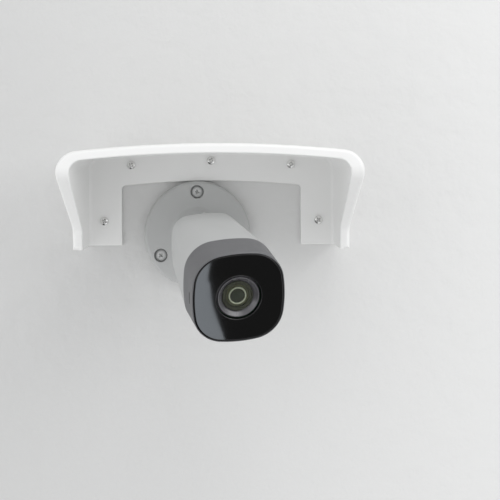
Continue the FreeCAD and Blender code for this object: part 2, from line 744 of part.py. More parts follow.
def make_neck_nut():
    """The ring nut inside the body, on the knuckle's tail."""
    start = BODY_REAR + BODY_REAR_WALL + FACE_CLEARANCE
    end = start + NECK_NUT_THICKNESS
    nut = ring(NECK_NUT_R, NECK_TAIL_R, start, end)
    slot_floor = end - NECK_NUT_SLOT_DEPTH
    slot = block(NECK_NUT_R + CUT_MARGIN, NECK_NUT_SLOT_WIDTH / 2, slot_floor, end + CUT_MARGIN)
    kept = cylinder(NECK_TAIL_R + NECK_NUT_SLOT_KEEP, start, end + 2 * CUT_MARGIN)
    return nut.cut(slot.cut(kept))


REAR_SECTION = (BODY_REAR_HALF, BODY_REAR_SIDE_R, BODY_REAR_CORNER_R, BODY_REAR)
FRONT_SECTION = (BODY_FRONT_HALF, BODY_FRONT_SIDE_R, BODY_FRONT_CORNER_R, BODY_FRONT)
FACE_SECTION = (FACE_HALF, FACE_SIDE_R, FACE_CORNER_R, FACE)


def body_section(out, inset=0.0):
    """The white body's section at a distance from the pivot."""
    return shrunk(between(REAR_SECTION, FRONT_SECTION, out), inset)


def bezel_section(out, inset=0.0):
    """The bezel's section at a distance from the pivot."""
    return shrunk(between(FRONT_SECTION, FACE_SECTION, out), inset)


def make_body_shell():
    """The white tapered shell, round at the rear, with the neck's bore."""
    outer = squircle_solid([body_section(BODY_REAR), body_section(BODY_FRONT)])
    outer = outer.makeFillet(BODY_REAR_ROUND, end_edges(outer, BODY_REAR))
    inner_rear = BODY_REAR + BODY_REAR_WALL
    inner = squircle_solid(
        [body_section(inner_rear, BODY_WALL), body_section(BODY_FRONT + CUT_MARGIN, BODY_WALL)]
    )
    inner = inner.makeFillet(BODY_REAR_ROUND - BODY_REAR_WALL, end_edges(inner, inner_rear))
    shell = outer.cut(inner)
    return shell.cut(cylinder(NECK_R + RUNNING_CLEARANCE, 0, inner_rear + CUT_MARGIN))


def spigot_section(out, inset=0.0):
    """The outline of the bezel's spigot, which slides into the body shell."""
    half, side_r, corner_r, _ = body_section(
        BODY_FRONT - BEZEL_SPIGOT_LENGTH, BODY_WALL + BEZEL_SPIGOT_GAP + inset
    )
    return (half, side_r, corner_r, out)


def spigot_ring(proud):
    """The ring round the middle of the spigot that the seal fills, standing proud of the spigot."""
    start = BODY_FRONT - (BEZEL_SPIGOT_LENGTH + BODY_SEAL_SIZE) / 2
    end = start + BODY_SEAL_SIZE
    floor = BODY_SEAL_SIZE - BEZEL_SPIGOT_GAP
    outer = squircle_solid([spigot_section(start, -proud), spigot_section(end, -proud)])
    margin_start = spigot_section(start - CUT_MARGIN, floor)
    return outer.cut(squircle_solid([margin_start, spigot_section(end + CUT_MARGIN, floor)]))


def face_outline(inset, out_start, out_end):
    """A straight solid with the face's outline moved inwards."""
    sections = []
    for out in (out_start, out_end):
        sections.append(shrunk((FACE_HALF, FACE_SIDE_R, FACE_CORNER_R, out), inset))
    return squircle_solid(sections)


def make_front_bezel():
    """The dark front cap: a spigot in the body, a window ledge and a slot in one cheek."""
    outer = squircle_solid([bezel_section(BODY_FRONT), bezel_section(FACE)])
    outer = outer.makeFillet(BEZEL_EDGE_R, end_edges(outer, FACE))
    spigot_start = BODY_FRONT - BEZEL_SPIGOT_LENGTH
    spigot = squircle_solid([spigot_section(spigot_start), spigot_section(BODY_FRONT + CUT_MARGIN)])
    bezel = outer.fuse(spigot)
    ledge_front = FACE - WINDOW_THICKNESS - WINDOW_SEAL_THICKNESS
    ledge_back = ledge_front - WINDOW_LEDGE_THICKNESS
    cavity = squircle_solid(
        [
            spigot_section(spigot_start - CUT_MARGIN, BEZEL_SPIGOT_WALL),
            spigot_section(ledge_back, BEZEL_SPIGOT_WALL),
        ]
    )
    pocket = face_outline(WINDOW_RIM, ledge_front, FACE + CUT_MARGIN)
    opening = face_outline(WINDOW_RIM + WINDOW_LEDGE_WIDTH, ledge_back - CUT_MARGIN, FACE)
    bezel = bezel.cut(cavity).cut(pocket).cut(opening).cut(spigot_ring(0.0))
    return bezel.cut(bezel_slot())


def bezel_slot():
    """The cutter for the upright slot with round ends in the bezel's left cheek."""
    out = FACE - BEZEL_SLOT_FROM_FACE
    half_width = BEZEL_SLOT_WIDTH / 2
    reach = (BEZEL_SLOT_LENGTH - BEZEL_SLOT_WIDTH) / 2
    cheek = FACE_HALF - BEZEL_SLOT_DEPTH
    straight = Part.makeBox(
        FACE_HALF, BEZEL_SLOT_WIDTH, 2 * reach,
        Vector(-cheek - FACE_HALF, -out - half_width, BEZEL_SLOT_Z - reach),
    )
    ends = []
    for side in (-1, 1):
        foot = Vector(-cheek - FACE_HALF, -out, BEZEL_SLOT_Z + side * reach)
        ends.append(Part.makeCylinder(half_width, FACE_HALF, foot, X_AXIS))
    return fuse_all([straight] + ends)


def make_body_seal():
    """The rubber seal in the spigot's groove, out to the body's wall."""
    return spigot_ring(BEZEL_SPIGOT_GAP)


def make_front_window():
    """The glossy panel flush with the bezel, with a bevelled round opening for the lens."""
    back = FACE - WINDOW_THICKNESS
    panel = face_outline(WINDOW_RIM + WINDOW_EDGE_GAP, back, FACE)
    opening = cylinder(WINDOW_OPENING_R, back - CUT_MARGIN, FACE + CUT_MARGIN)
    bevel_start = FACE - WINDOW_OPENING_BEVEL
    bevel = turned(
        [
            (0, bevel_start),
            (WINDOW_OPENING_R, bevel_start),
            (WINDOW_OPENING_R + WINDOW_OPENING_BEVEL, FACE),
            (WINDOW_OPENING_R + WINDOW_OPENING_BEVEL, FACE + CUT_MARGIN),
            (0, FACE + CUT_MARGIN),
        ]
    )
    return panel.cut(opening).cut(bevel)


def make_window_seal():
    """The thin gasket between the window and the bezel's ledge."""
    end = FACE - WINDOW_THICKNESS
    start = end - WINDOW_SEAL_THICKNESS
    inset = WINDOW_RIM + WINDOW_EDGE_GAP
    inner = face_outline(inset + WINDOW_SEAL_WIDTH, start - CUT_MARGIN, end + CUT_MARGIN)
    return face_outline(inset, start, end).cut(inner)


def make_lens_shroud():
    """The pale conical ring that lines the window's opening."""
    mouth = FACE - SHROUD_SETBACK
    throat = FACE - SHROUD_THROAT_SETBACK
    back = FACE - CHASSIS_SETBACK
    return turned(
        [
            (SHROUD_THROAT_R, back),
            (SHROUD_THROAT_R, throat),
            (SHROUD_MOUTH_R, mouth),
            (SHROUD_R, mouth),
            (SHROUD_R, back),
        ]
    )


def make_lens_barrel():
    """The stepped black barrel: a wide head that holds the front lens, then a threaded tube."""
    head_front = FACE - BARREL_HEAD_SETBACK
    head_back = head_front - BARREL_HEAD_LENGTH
    tube_back = head_front - BARREL_LENGTH
    step = head_front - BARREL_STEP_DEPTH
    seat = head_front - BARREL_SEAT_DEPTH
    return turned(
        [
            (BARREL_TUNNEL_R, tube_back),
            (BARREL_TUNNEL_R, seat),
            (BARREL_SEAT_R, seat),
            (BARREL_SEAT_R, step),
            (BARREL_STEP_R, step),
            (BARREL_STEP_R, head_front),
            (BARREL_HEAD_R, head_front),
            (BARREL_HEAD_R, head_back),
            (BARREL_THREAD_R, head_back),
            (BARREL_THREAD_R, tube_back),
        ]
    )


def cap_ball(radius, rise, top):
    """The ball whose cap has a given radius and rise and peaks at a distance out."""
    ball_r = (radius**2 + rise**2) / (2 * rise)
    return Part.makeSphere(ball_r, Vector(0, ball_r - top, 0))


def dome(radius, edge, rise, back):
    """A disc with a domed front: a cylinder of a given edge height under a spherical cap."""
    top = back + edge + rise
    return cylinder(radius, back, top).common(cap_ball(radius, rise, top))


def make_front_lens():
    """The thin domed cover lens on the barrel's head."""
    back = FACE - BARREL_HEAD_SETBACK
    outer = dome(FRONT_LENS_R, FRONT_LENS_EDGE, FRONT_LENS_RISE, back)
    hollow_r = FRONT_LENS_R - 2 * FRONT_LENS_WALL
    hollow_rise = FRONT_LENS_RISE - FRONT_LENS_WALL / 2
    return outer.cut(cap_ball(hollow_r, hollow_rise, back + hollow_rise))


def make_lens_ring():
    """The bright retaining ring in front of the inner lens."""
    back = FACE - BARREL_HEAD_SETBACK - BARREL_SEAT_DEPTH + INNER_LENS_EDGE
    return ring(LENS_RING_R, LENS_RING_INNER_R, back - INNER_LENS_EDGE, back + LENS_RING_THICKNESS)


def make_inner_lens():
    back = FACE - BARREL_HEAD_SETBACK - BARREL_SEAT_DEPTH
    return dome(INNER_LENS_R, INNER_LENS_EDGE, INNER_LENS_RISE, back)


def make_rear_lens():
    centre = FACE - REAR_LENS_SETBACK
    return dome(REAR_LENS_R, REAR_LENS_THICKNESS / 2, REAR_LENS_THICKNESS / 2, centre)


def make_chassis():
    """The carrier plate across the bezel that holds the shroud, the boards and the lens."""
    front = FACE - CHASSIS_SETBACK
    back = front - CHASSIS_THICKNESS
    inset = BEZEL_SPIGOT_WALL + CHASSIS_GAP
    plate = squircle_solid([spigot_section(back, inset), spigot_section(front, inset)])
    return plate.cut(cylinder(BARREL_HEAD_R + FACE_CLEARANCE, back - CUT_MARGIN, front + CUT_MARGIN))


def make_led_board():
    """The infrared board behind the window, round the shroud."""
    back = FACE - CHASSIS_SETBACK
    front = back + LED_BOARD_THICKNESS
    inset = BEZEL_SPIGOT_WALL + LED_BOARD_GAP
    plate = squircle_solid([spigot_section(back, inset), spigot_section(front, inset)])
    return plate.cut(cylinder(SHROUD_R + LED_BOARD_HOLE_GAP, back - CUT_MARGIN, front + CUT_MARGIN))


def make_infrared_leds():
    front = FACE - CHASSIS_SETBACK + LED_BOARD_THICKNESS
    led = moved(dome(LED_R, LED_EDGE, LED_DOME, front), LED_CIRCLE_R, 0)
    return Part.makeCompound(around(led, LED_COUNT, 180.0 / LED_COUNT))


def board(half, setback):
    """A square circuit board with round corners, its front face a setback behind the face."""
    front = FACE - setback
    plate = block(half, half, front - BOARD_THICKNESS, front)
    corners = [e for e in plate.Edges if e.BoundBox.YLength > BOARD_THICKNESS / 2]
    plate = plate.makeFillet(BOARD_CORNER_R, corners)
    for x, z in pillar_spots():
        plate = plate.cut(cylinder(BOARD_HOLE_R, front - 2 * BOARD_THICKNESS, front + CUT_MARGIN, x, z))
    return plate


def pillar_spots():
    return [(x, z) for x in (-PILLAR_X, PILLAR_X) for z in (-PILLAR_X, PILLAR_X)]


def make_pillars(front_setback, back_setback):
    """Four threaded pillars between two setbacks behind the face."""
    pillar = ring(PILLAR_R, PILLAR_BORE_R, FACE - back_setback, FACE - front_setback)
    return Part.makeCompound([moved(pillar, x, z) for x, z in pillar_spots()])


def make_board_screws():
    """Four pan screws through the main board into the rear pillars."""
    seat = FACE - MAIN_BOARD_SETBACK - BOARD_THICKNESS
    head = cylinder(BOARD_SCREW_HEAD_R, seat - BOARD_SCREW_HEAD_HEIGHT, seat)
    shank = cylinder(BOARD_SCREW_R, seat, seat + BOARD_SCREW_LENGTH)
    screw = head.fuse(shank).removeSplitter()
    top = seat - BOARD_SCREW_HEAD_HEIGHT
    slot_half = BOARD_SCREW_SLOT_WIDTH / 2
    slot = block(BOARD_SCREW_HEAD_R, slot_half, top - CUT_MARGIN, top + BOARD_SCREW_SLOT_DEPTH)
    screw = screw.cut(slot)
    return Part.makeCompound([moved(screw, x, z) for x, z in pillar_spots()])


def make_lens_holder():
    """The square mount on the sensor board that the barrel screws into."""
    back = FACE - SENSOR_BOARD_SETBACK
    front = back + HOLDER_LENGTH
    tower = block(HOLDER_HALF, HOLDER_HALF, back, front)
    foot = block(HOLDER_FOOT_HALF_LENGTH, HOLDER_FOOT_HALF_WIDTH, back, back + HOLDER_FOOT_HEIGHT)
    holder = tower.fuse(foot).removeSplitter()
    room = block(HOLDER_ROOM_HALF, HOLDER_ROOM_HALF, back - CUT_MARGIN, back + HOLDER_ROOM_DEPTH)
    return holder.cut(room).cut(cylinder(BARREL_THREAD_R + THREAD_CLEARANCE, back, front + CUT_MARGIN))


def make_image_sensor():
    back = FACE - SENSOR_BOARD_SETBACK
    return block(SENSOR_HALF_WIDTH, SENSOR_HALF_HEIGHT, back, back + SENSOR_THICKNESS)


def make_processor():
    back = FACE - MAIN_BOARD_SETBACK
    return block(PROCESSOR_HALF, PROCESSOR_HALF, back, back + PROCESSOR_THICKNESS)


def make_heat_sink():
    """The finned block on the processor."""
    foot = FACE - MAIN_BOARD_SETBACK + PROCESSOR_THICKNESS
    top = foot + HEAT_SINK_BASE
    pieces = [block(HEAT_SINK_HALF, HEAT_SINK_HALF, foot, top)]
    pitch = (2 * HEAT_SINK_HALF - HEAT_SINK_FIN_THICKNESS) / (HEAT_SINK_FIN_COUNT - 1)
    for i in range(HEAT_SINK_FIN_COUNT):
        x = -HEAT_SINK_HALF + HEAT_SINK_FIN_THICKNESS / 2 + i * pitch
        half = HEAT_SINK_FIN_THICKNESS / 2
        pieces.append(block(half, HEAT_SINK_HALF, top, top + HEAT_SINK_FIN_HEIGHT, x))
    return fuse_all(pieces)


def make_wire_socket():
    """The plug socket on the back of the main board, where the camera's lead would plug in."""
    width, height, depth = PLUG_SOCKET_SIZE
    front = FACE - MAIN_BOARD_SETBACK - BOARD_THICKNESS
    shell = block(width / 2, height / 2, front - depth, front, 0, PLUG_SOCKET_Z)
    room = block(
        width / 2 - PLUG_SOCKET_WALL,
        height / 2 - PLUG_SOCKET_WALL,
        front - depth - CUT_MARGIN,
        front - depth + PLUG_SOCKET_DEPTH,
        0,
        PLUG_SOCKET_Z,
    )
    return shell.cut(room)


TURNED = Placement(Vector(), Rotation(Y_AXIS, AIM_TURN))
TIPPED = Placement(Vector(0, -PIVOT_OUT, 0), Rotation(X_AXIS, AIM_TIP))
ROLLED = Placement(Vector(), Rotation(Y_AXIS, AIM_ROLL))
FORK_PLACE = TURNED
KNUCKLE_PLACE = TURNED.multiply(TIPPED)
BODY_PLACE = KNUCKLE_PLACE.multiply(ROLLED)
AT_WALL = Placement()

NODES = {
    "hood_shell": (make_hood_shell, AT_WALL),
    "hood_screws": (make_hood_screws, AT_WALL),
    "base_plate": (make_base_plate, AT_WALL),
    "base_screws": (make_base_screws, AT_WALL),
    "swivel_fork": (make_swivel_fork, FORK_PLACE),
    "swivel_retainer": (make_swivel_retainer, FORK_PLACE),
    "cable_grommet": (make_cable_grommet, FORK_PLACE),
    "pivot_screws": (make_pivot_screws, FORK_PLACE),
    "tilt_knuckle": (make_tilt_knuckle, KNUCKLE_PLACE),
    "neck_nut": (make_neck_nut, KNUCKLE_PLACE),
    "body_shell": (make_body_shell, BODY_PLACE),
    "body_seal": (make_body_seal, BODY_PLACE),
    "front_bezel": (make_front_bezel, BODY_PLACE),
    "window_seal": (make_window_seal, BODY_PLACE),
    "front_window": (make_front_window, BODY_PLACE),
    "lens_shroud": (make_lens_shroud, BODY_PLACE),
    "lens_barrel": (make_lens_barrel, BODY_PLACE),
    "front_lens": (make_front_lens, BODY_PLACE),
    "lens_ring": (make_lens_ring, BODY_PLACE),
    "inner_lens": (make_inner_lens, BODY_PLACE),
    "rear_lens": (make_rear_lens, BODY_PLACE),
    "chassis_plate": (make_chassis, BODY_PLACE),
    "led_board": (make_led_board, BODY_PLACE),
    "infrared_leds": (make_infrared_leds, BODY_PLACE),
    "front_pillars": (
        lambda: make_pillars(CHASSIS_SETBACK + CHASSIS_THICKNESS, SENSOR_BOARD_SETBACK),
        BODY_PLACE,
    ),
    "sensor_board": (lambda: board(BOARD_HALF, SENSOR_BOARD_SETBACK), BODY_PLACE),
    "lens_holder": (make_lens_holder, BODY_PLACE),
    "image_sensor": (make_image_sensor, BODY_PLACE),
    "rear_pillars": (
        lambda: make_pillars(SENSOR_BOARD_SETBACK + BOARD_THICKNESS, MAIN_BOARD_SETBACK),
        BODY_PLACE,
    ),
    "main_board": (lambda: board(BOARD_HALF, MAIN_BOARD_SETBACK), BODY_PLACE),
    "board_screws": (make_board_screws, BODY_PLACE),
    "processor": (make_processor, BODY_PLACE),
    "heat_sink": (make_heat_sink, BODY_PLACE),
    "wire_socket": (make_wire_socket, BODY_PLACE),
}


for node, (make, place) in NODES.items():
    shape = make()
    shape.Placement = place.multiply(shape.Placement)
    shape.exportStep(f"parts/{node}.step")
    print(f"{node}: {len(shape.Solids)} solids, {shape.Volume / 1000:.2f} cm3, valid {shape.isValid()}")
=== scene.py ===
"""Dresses a wall-mounted bullet camera and its weather hood, and sets them in a plain studio.

Lengths are metres in the frame of the construction model: the wall is the plane Y = 0, the object
stands out towards -Y, +Z is up. "Out" is a distance from the wall, or from the camera's pivot along
its own axis.
"""
import json
import math

import bmesh
import bpy
from mathutils import Euler, Matrix, Vector

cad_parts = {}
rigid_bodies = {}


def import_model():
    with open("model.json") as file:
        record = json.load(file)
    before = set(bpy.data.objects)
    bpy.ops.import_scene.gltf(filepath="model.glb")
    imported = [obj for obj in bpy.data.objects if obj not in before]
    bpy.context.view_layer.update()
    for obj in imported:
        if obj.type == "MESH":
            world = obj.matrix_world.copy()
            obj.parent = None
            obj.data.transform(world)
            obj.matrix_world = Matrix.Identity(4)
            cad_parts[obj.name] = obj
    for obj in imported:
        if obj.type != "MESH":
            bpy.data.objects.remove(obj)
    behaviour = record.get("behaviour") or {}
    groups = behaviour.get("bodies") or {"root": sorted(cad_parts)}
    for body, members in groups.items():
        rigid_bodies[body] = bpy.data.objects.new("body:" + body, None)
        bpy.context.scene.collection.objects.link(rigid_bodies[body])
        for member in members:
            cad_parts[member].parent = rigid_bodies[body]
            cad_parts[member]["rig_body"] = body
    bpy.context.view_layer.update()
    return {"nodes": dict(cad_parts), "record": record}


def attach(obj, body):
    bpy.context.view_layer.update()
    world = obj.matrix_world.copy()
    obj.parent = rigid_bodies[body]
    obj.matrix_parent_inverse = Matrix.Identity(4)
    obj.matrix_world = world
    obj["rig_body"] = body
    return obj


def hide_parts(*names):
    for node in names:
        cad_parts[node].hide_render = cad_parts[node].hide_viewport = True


bl_info = {
    "name": "Hooded bullet camera",
    "version": (1, 0, 0),
    "blender": (4, 5, 0),
    "location": "3D View > Sidebar > Hooded camera",
    "description": "Finishes the pieces of a wall-mounted bullet camera under its weather hood",
    "category": "Object",
}

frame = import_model()
MM = 0.001

# Where the camera points: turned about the wall's normal, tipped down, rolled about its own axis
PIVOT_OUT = 38.2 * MM
AIM_TURN = math.radians(-33.4)
AIM_TIP = math.radians(25.0)
AIM_ROLL = math.radians(31.0)
FORK_PLACE = Matrix.Rotation(AIM_TURN, 4, "Y")
KNUCKLE_PLACE = FORK_PLACE @ Matrix.Translation((0, -PIVOT_OUT, 0)) @ Matrix.Rotation(AIM_TIP, 4, "X")
CAMERA_PLACE = KNUCKLE_PLACE @ Matrix.Rotation(AIM_ROLL, 4, "Y")
CAMERA_AXIS = CAMERA_PLACE.to_3x3() @ Vector((0, -1, 0))
FACE_OUT = 113.8 * MM

# The face's outline: half width, radius of its bowed sides, radius of its corners
FACE_FORM = (28.8 * MM, 80.0 * MM, 19.4 * MM)
WINDOW_INSET = 0.85 * MM
WINDOW_THICKNESS = 2.0 * MM
WINDOW_HOLE_R = 14.0 * MM
WINDOW_HOLE_EDGE = 0.5 * MM
# Painted shade on the front cap's rim: how far behind the face it reaches, and the span over which it fades out towards
# the top
RIM_SHADE_DEPTH = 0.12 * MM
RIM_SHADE_FADE = (-24.0 * MM, -17.0 * MM)

# Edges that meet at less than this stay smooth, and points nearer than this are one point
SMOOTH_ANGLE = math.radians(30)
MERGE_DISTANCE = 2e-6
FLAT_ANGLE = math.radians(0.3)

# Wall screws, as (x, z) on the wall and the turn of each recess
HOOD_CENTRE_X = 9.5 * MM
HOOD_SCREW_SPOTS = (
    (HOOD_CENTRE_X, 49.3 * MM, 20.0),
    (HOOD_CENTRE_X - 53.6 * MM, 46.6 * MM, 35.0),
    (HOOD_CENTRE_X + 53.6 * MM, 46.6 * MM, 12.0),
    (HOOD_CENTRE_X - 71.8 * MM, 9.0 * MM, 28.0),
    (HOOD_CENTRE_X + 71.8 * MM, 9.0 * MM, 50.0),
)
BASE_BOLT_CIRCLE_R = 28.25 * MM
BASE_SCREW_TURNS = (8.0, 41.0, 70.0)

# The photograph's viewpoint
VIEW_DISTANCE = 1.3
FOCAL_PX = 1932.0
FRAME_PX = 500.0
SENSOR_WIDTH = 36.0
VANISHING_PX = (224.0, 260.0)
BASE_CENTRE_PX = (197.6, 233.8)
PHOTO_ROLL = math.radians(0.4)


def length(name, default, description):
    """A length property in metres."""
    return bpy.props.FloatProperty(
        name=name, description=description, default=default, min=0.0, unit="LENGTH", precision=5
    )


def amount(name, default, description, top=1.0):
    """A plain number from nothing to a top value."""
    return bpy.props.FloatProperty(name=name, description=description, default=default, min=0.0, max=top)


def colour(name, default, description):
    """A linear colour property."""
    return bpy.props.FloatVectorProperty(
        name=name, description=description, default=default, size=3, min=0.0, max=1.0, subtype="COLOR"
    )


class HoodLook(bpy.types.PropertyGroup):
    edge_round: length("Edge round", 0.35 * MM, "Radius of the moulding's small edges")
    plastic: colour("Plastic", (0.895, 0.895, 0.887), "Colour of the white plastic")
    shade: colour("Shade", (0.877, 0.877, 0.868), "Slightly darker tone that the plastic drifts to")
    dust: colour("Dust", (0.60, 0.58, 0.54), "Colour of the thin dust on upward faces")
    dust_amount: amount("Dust amount", 0.25, "How much dust lies on upward faces")
    roughness: amount("Roughness", 0.34, "Roughness of the moulded surface")


class CameraLook(bpy.types.PropertyGroup):
    edge_round: length("Edge round", 0.25 * MM, "Radius of the small edges")
    paint: colour("Paint", (0.488, 0.495, 0.491), "Colour of the white paint")
    paint_shade: colour("Paint shade", (0.466, 0.471, 0.467), "Slightly darker tone that the paint drifts to")
    bezel: colour("Bezel", (0.131, 0.131, 0.136), "Colour of the dark front cap")
    bezel_shade: colour("Bezel shade", (0.117, 0.117, 0.123), "Darker tone of the front cap")
    window: colour("Window", (0.004, 0.004, 0.0042), "Colour of the black front panel")
    window_edge: length("Window edge", 0.9 * MM, "Radius of the panel's polished edge")


class LensLook(bpy.types.PropertyGroup):
    shroud: colour("Shroud", (0.062, 0.060, 0.067), "Colour of the conical ring")
    olive: colour("Coating", (0.017, 0.0175, 0.011), "Colour seen inside the lens between its rings")
    ring: colour("Ring", (0.44, 0.45, 0.395), "Colour of the bright retaining ring")
    # Painted highlight: the ridges get a lighter copy of the barrel's olive coating, so they show as a faint bright
    # ring
    ridge: colour("Ridges", (0.085, 0.09, 0.048), "Colour of the anti-glare ridges on the barrel's head")
    ridge_start: length("Ridge start", 6.2 * MM, "Radius of the innermost anti-glare ridge")
    ridge_height: length("Ridge height", 0.17 * MM, "Height of an anti-glare ridge")
    ridge_pitch: length("Ridge pitch", 0.45 * MM, "Pitch of the anti-glare ridges")
    ridge_count: bpy.props.IntProperty(
        name="Ridge count", description="Number of anti-glare ridges", default=2, min=1, max=12
    )


class ScrewLook(bpy.types.PropertyGroup):
    hood_head_r: length("Hood head radius", 2.9 * MM, "Head radius of the hood's screws")
    hood_head_height: length("Hood head height", 1.9 * MM, "Head height of the hood's screws")
    hood_thread_r: length("Hood thread radius", 1.75 * MM, "Outer thread radius of the hood's screws")
    base_head_r: length("Base head radius", 3.8 * MM, "Head radius of the base's screws")
    base_head_height: length("Base head height", 2.3 * MM, "Head height of the base's screws")
    base_thread_r: length("Base thread radius", 1.95 * MM, "Outer thread radius of the base's screws")
    pitch: length("Thread pitch", 1.35 * MM, "Distance between the thread's turns")
    steel: colour("Steel", (0.80, 0.80, 0.79), "Colour of the plated steel")
    # Painted light: the base's screws are made lighter than the camera's white paint to offset the shade in their
    # recesses
    painted: colour("Painted", (0.66, 0.665, 0.66), "Colour of the base's painted screws")


class StageLook(bpy.types.PropertyGroup):
    wall: colour("Wall", (0.70, 0.70, 0.694), "Colour of the plain wall")
    # Painted light: the wall's colour brightens to the right as if lit more from that side; its paint is really even
    wall_painted_light: amount("Wall drift", 0.55, "How much brighter the wall's paint gets with each metre to the right")
    soft_light: amount("Soft light", 1.04, "Strength of the soft light all round", 4.0)
    lamp_power: amount("Lamp power", 20.8, "Power that the lamps share", 400.0)
    lamp_size: length("Lamp size", 0.8, "Edge of a lamp")
    panel_glow: amount("Panel glow", 4.5, "Brightness of the panel that the window reflects", 40.0)
    top_glow: amount("Top glow", 3.2, "Brightness of the overhead panel that the conical ring reflects", 40.0)


LOOKS = {
    "hood_look": HoodLook,
    "camera_look": CameraLook,
    "lens_look": LensLook,
    "screw_look": ScrewLook,
    "stage_look": StageLook,
}


# Shader node groups


def new_group(name, inputs, outputs):
    """A shader node group with named sockets, each (name, type, default)."""
    group = bpy.data.node_groups.new(name, "ShaderNodeTree")
    for socket_name, kind, default in inputs:
        socket = group.interface.new_socket(socket_name, in_out="INPUT", socket_type=kind)
        socket.default_value = default
    for socket_name, kind in outputs:
        group.interface.new_socket(socket_name, in_out="OUTPUT", socket_type=kind)
    start = group.nodes.new("NodeGroupInput")
    end = group.nodes.new("NodeGroupOutput")
    return group, start, end


def noise_in(group, scale_socket, factor, detail):
    """A noise texture on object coordinates, whose scale is a share of a group input."""
    place = group.nodes.new("ShaderNodeTexCoord")
    scale = group.nodes.new("ShaderNodeMath")
    scale.operation = "MULTIPLY"
    scale.inputs[1].default_value = factor
    noise = group.nodes.new("ShaderNodeTexNoise")
    noise.inputs["Detail"].default_value = detail
    group.links.new(scale_socket, scale.inputs[0])
    group.links.new(place.outputs["Object"], noise.inputs["Vector"])
    group.links.new(scale.outputs[0], noise.inputs["Scale"])
    return noise.outputs["Fac"]


def mapped(group, value, low, high):
    """A value from 0 to 1 brought to the span between two sockets or numbers."""
    node = group.nodes.new("ShaderNodeMapRange")
    group.links.new(value, node.inputs["Value"])
    for socket, wanted in (("To Min", low), ("To Max", high)):
        if isinstance(wanted, (int, float)):
            node.inputs[socket].default_value = wanted
        else:
            group.links.new(wanted, node.inputs[socket])
    return node.outputs["Result"]


def moulded_surface_group():
    """Slow drift of colour and roughness with a fine grain, as on moulded or painted plastic."""
    group, start, end = new_group(
        "Moulded surface",
        [
            ("Colour", "NodeSocketColor", (0.8, 0.8, 0.8, 1)),
            ("Shade", "NodeSocketColor", (0.7, 0.7, 0.7, 1)),
            ("Drift scale", "NodeSocketFloat", 30.0),
            ("Grain scale", "NodeSocketFloat", 2500.0),
            ("Smooth", "NodeSocketFloat", 0.3),
            ("Rough", "NodeSocketFloat", 0.4),
        ],
        [("Colour", "NodeSocketColor"), ("Roughness", "NodeSocketFloat"), ("Height", "NodeSocketFloat")],
    )
    drift = noise_in(group, start.outputs["Drift scale"], 1.0, 3.0)
    grain = noise_in(group, start.outputs["Grain scale"], 1.0, 2.0)
    blend = group.nodes.new("ShaderNodeMix")
    blend.data_type = "RGBA"
    group.links.new(drift, blend.inputs["Factor"])
    group.links.new(start.outputs["Colour"], blend.inputs["A"])
    group.links.new(start.outputs["Shade"], blend.inputs["B"])
    group.links.new(blend.outputs["Result"], end.inputs["Colour"])
    group.links.new(mapped(group, drift, start.outputs["Smooth"], start.outputs["Rough"]), end.inputs["Roughness"])
    group.links.new(grain, end.inputs["Height"])
    return group


def settled_dust_group():
    """A mask of thin dust on faces that look up, broken up by noise."""
    group, start, end = new_group(
        "Settled dust",
        [("Amount", "NodeSocketFloat", 0.2), ("Patch scale", "NodeSocketFloat", 60.0)],
        [("Mask", "NodeSocketFloat")],
    )
    facing = group.nodes.new("ShaderNodeNewGeometry")
    split = group.nodes.new("ShaderNodeSeparateXYZ")
    up = group.nodes.new("ShaderNodeMapRange")
    up.inputs["From Min"].default_value = 0.55
    up.inputs["From Max"].default_value = 1.0
    patches = mapped(group, noise_in(group, start.outputs["Patch scale"], 1.0, 5.0), 0.3, 1.3)
    thick = group.nodes.new("ShaderNodeMath")
    thick.operation = "MULTIPLY"
    scaled = group.nodes.new("ShaderNodeMath")
    scaled.operation = "MULTIPLY"
    scaled.use_clamp = True
    group.links.new(facing.outputs["Normal"], split.inputs[0])
    group.links.new(split.outputs["Z"], up.inputs["Value"])
    group.links.new(up.outputs["Result"], thick.inputs[0])
    group.links.new(patches, thick.inputs[1])
    group.links.new(thick.outputs[0], scaled.inputs[0])
    group.links.new(start.outputs["Amount"], scaled.inputs[1])
    group.links.new(scaled.outputs[0], end.inputs["Mask"])
    return group


def worked_metal_group():
    """Fine scratches and a slow drift of roughness, as on plated or turned metal."""
    group, start, end = new_group(
        "Worked metal",
        [
            ("Scratch scale", "NodeSocketFloat", 1500.0),
            ("Smooth", "NodeSocketFloat", 0.15),
            ("Rough", "NodeSocketFloat", 0.35),
        ],
        [("Roughness", "NodeSocketFloat"), ("Height", "NodeSocketFloat")],
    )
    place = group.nodes.new("ShaderNodeTexCoord")
    stretch = group.nodes.new("ShaderNodeMapping")
    stretch.inputs["Scale"].default_value = (1.0, 6.0, 1.0)
    scratches = group.nodes.new("ShaderNodeTexNoise")
    scratches.inputs["Detail"].default_value = 4.0
    group.links.new(place.outputs["Object"], stretch.inputs["Vector"])
    group.links.new(stretch.outputs["Vector"], scratches.inputs["Vector"])
    group.links.new(start.outputs["Scratch scale"], scratches.inputs["Scale"])
    fac = scratches.outputs["Fac"]
    group.links.new(mapped(group, fac, start.outputs["Smooth"], start.outputs["Rough"]), end.inputs["Roughness"])
    group.links.new(fac, end.inputs["Height"])
    return group


# Materials


def new_material(name, rgb, roughness, metallic=0.0, ior=1.5):
    """A material with its own Principled shader, and that shader."""
    material = bpy.data.materials.new(name)
    material.use_nodes = True
    shader = material.node_tree.nodes["Principled BSDF"]
    shader.inputs["Base Color"].default_value = (*rgb, 1)
    shader.inputs["Roughness"].default_value = roughness
    shader.inputs["Metallic"].default_value = metallic
    shader.inputs["IOR"].default_value = ior
    return material, shader


def place_group(material, group_name, **values):
    """A shared group in a material, with its own values."""
    node = material.node_tree.nodes.new("ShaderNodeGroup")
    node.node_tree = bpy.data.node_groups[group_name]
    for name, value in values.items():
        socket = node.inputs[name.replace("_", " ")]
        socket.default_value = (*value, 1) if isinstance(value, tuple) else value
    return node


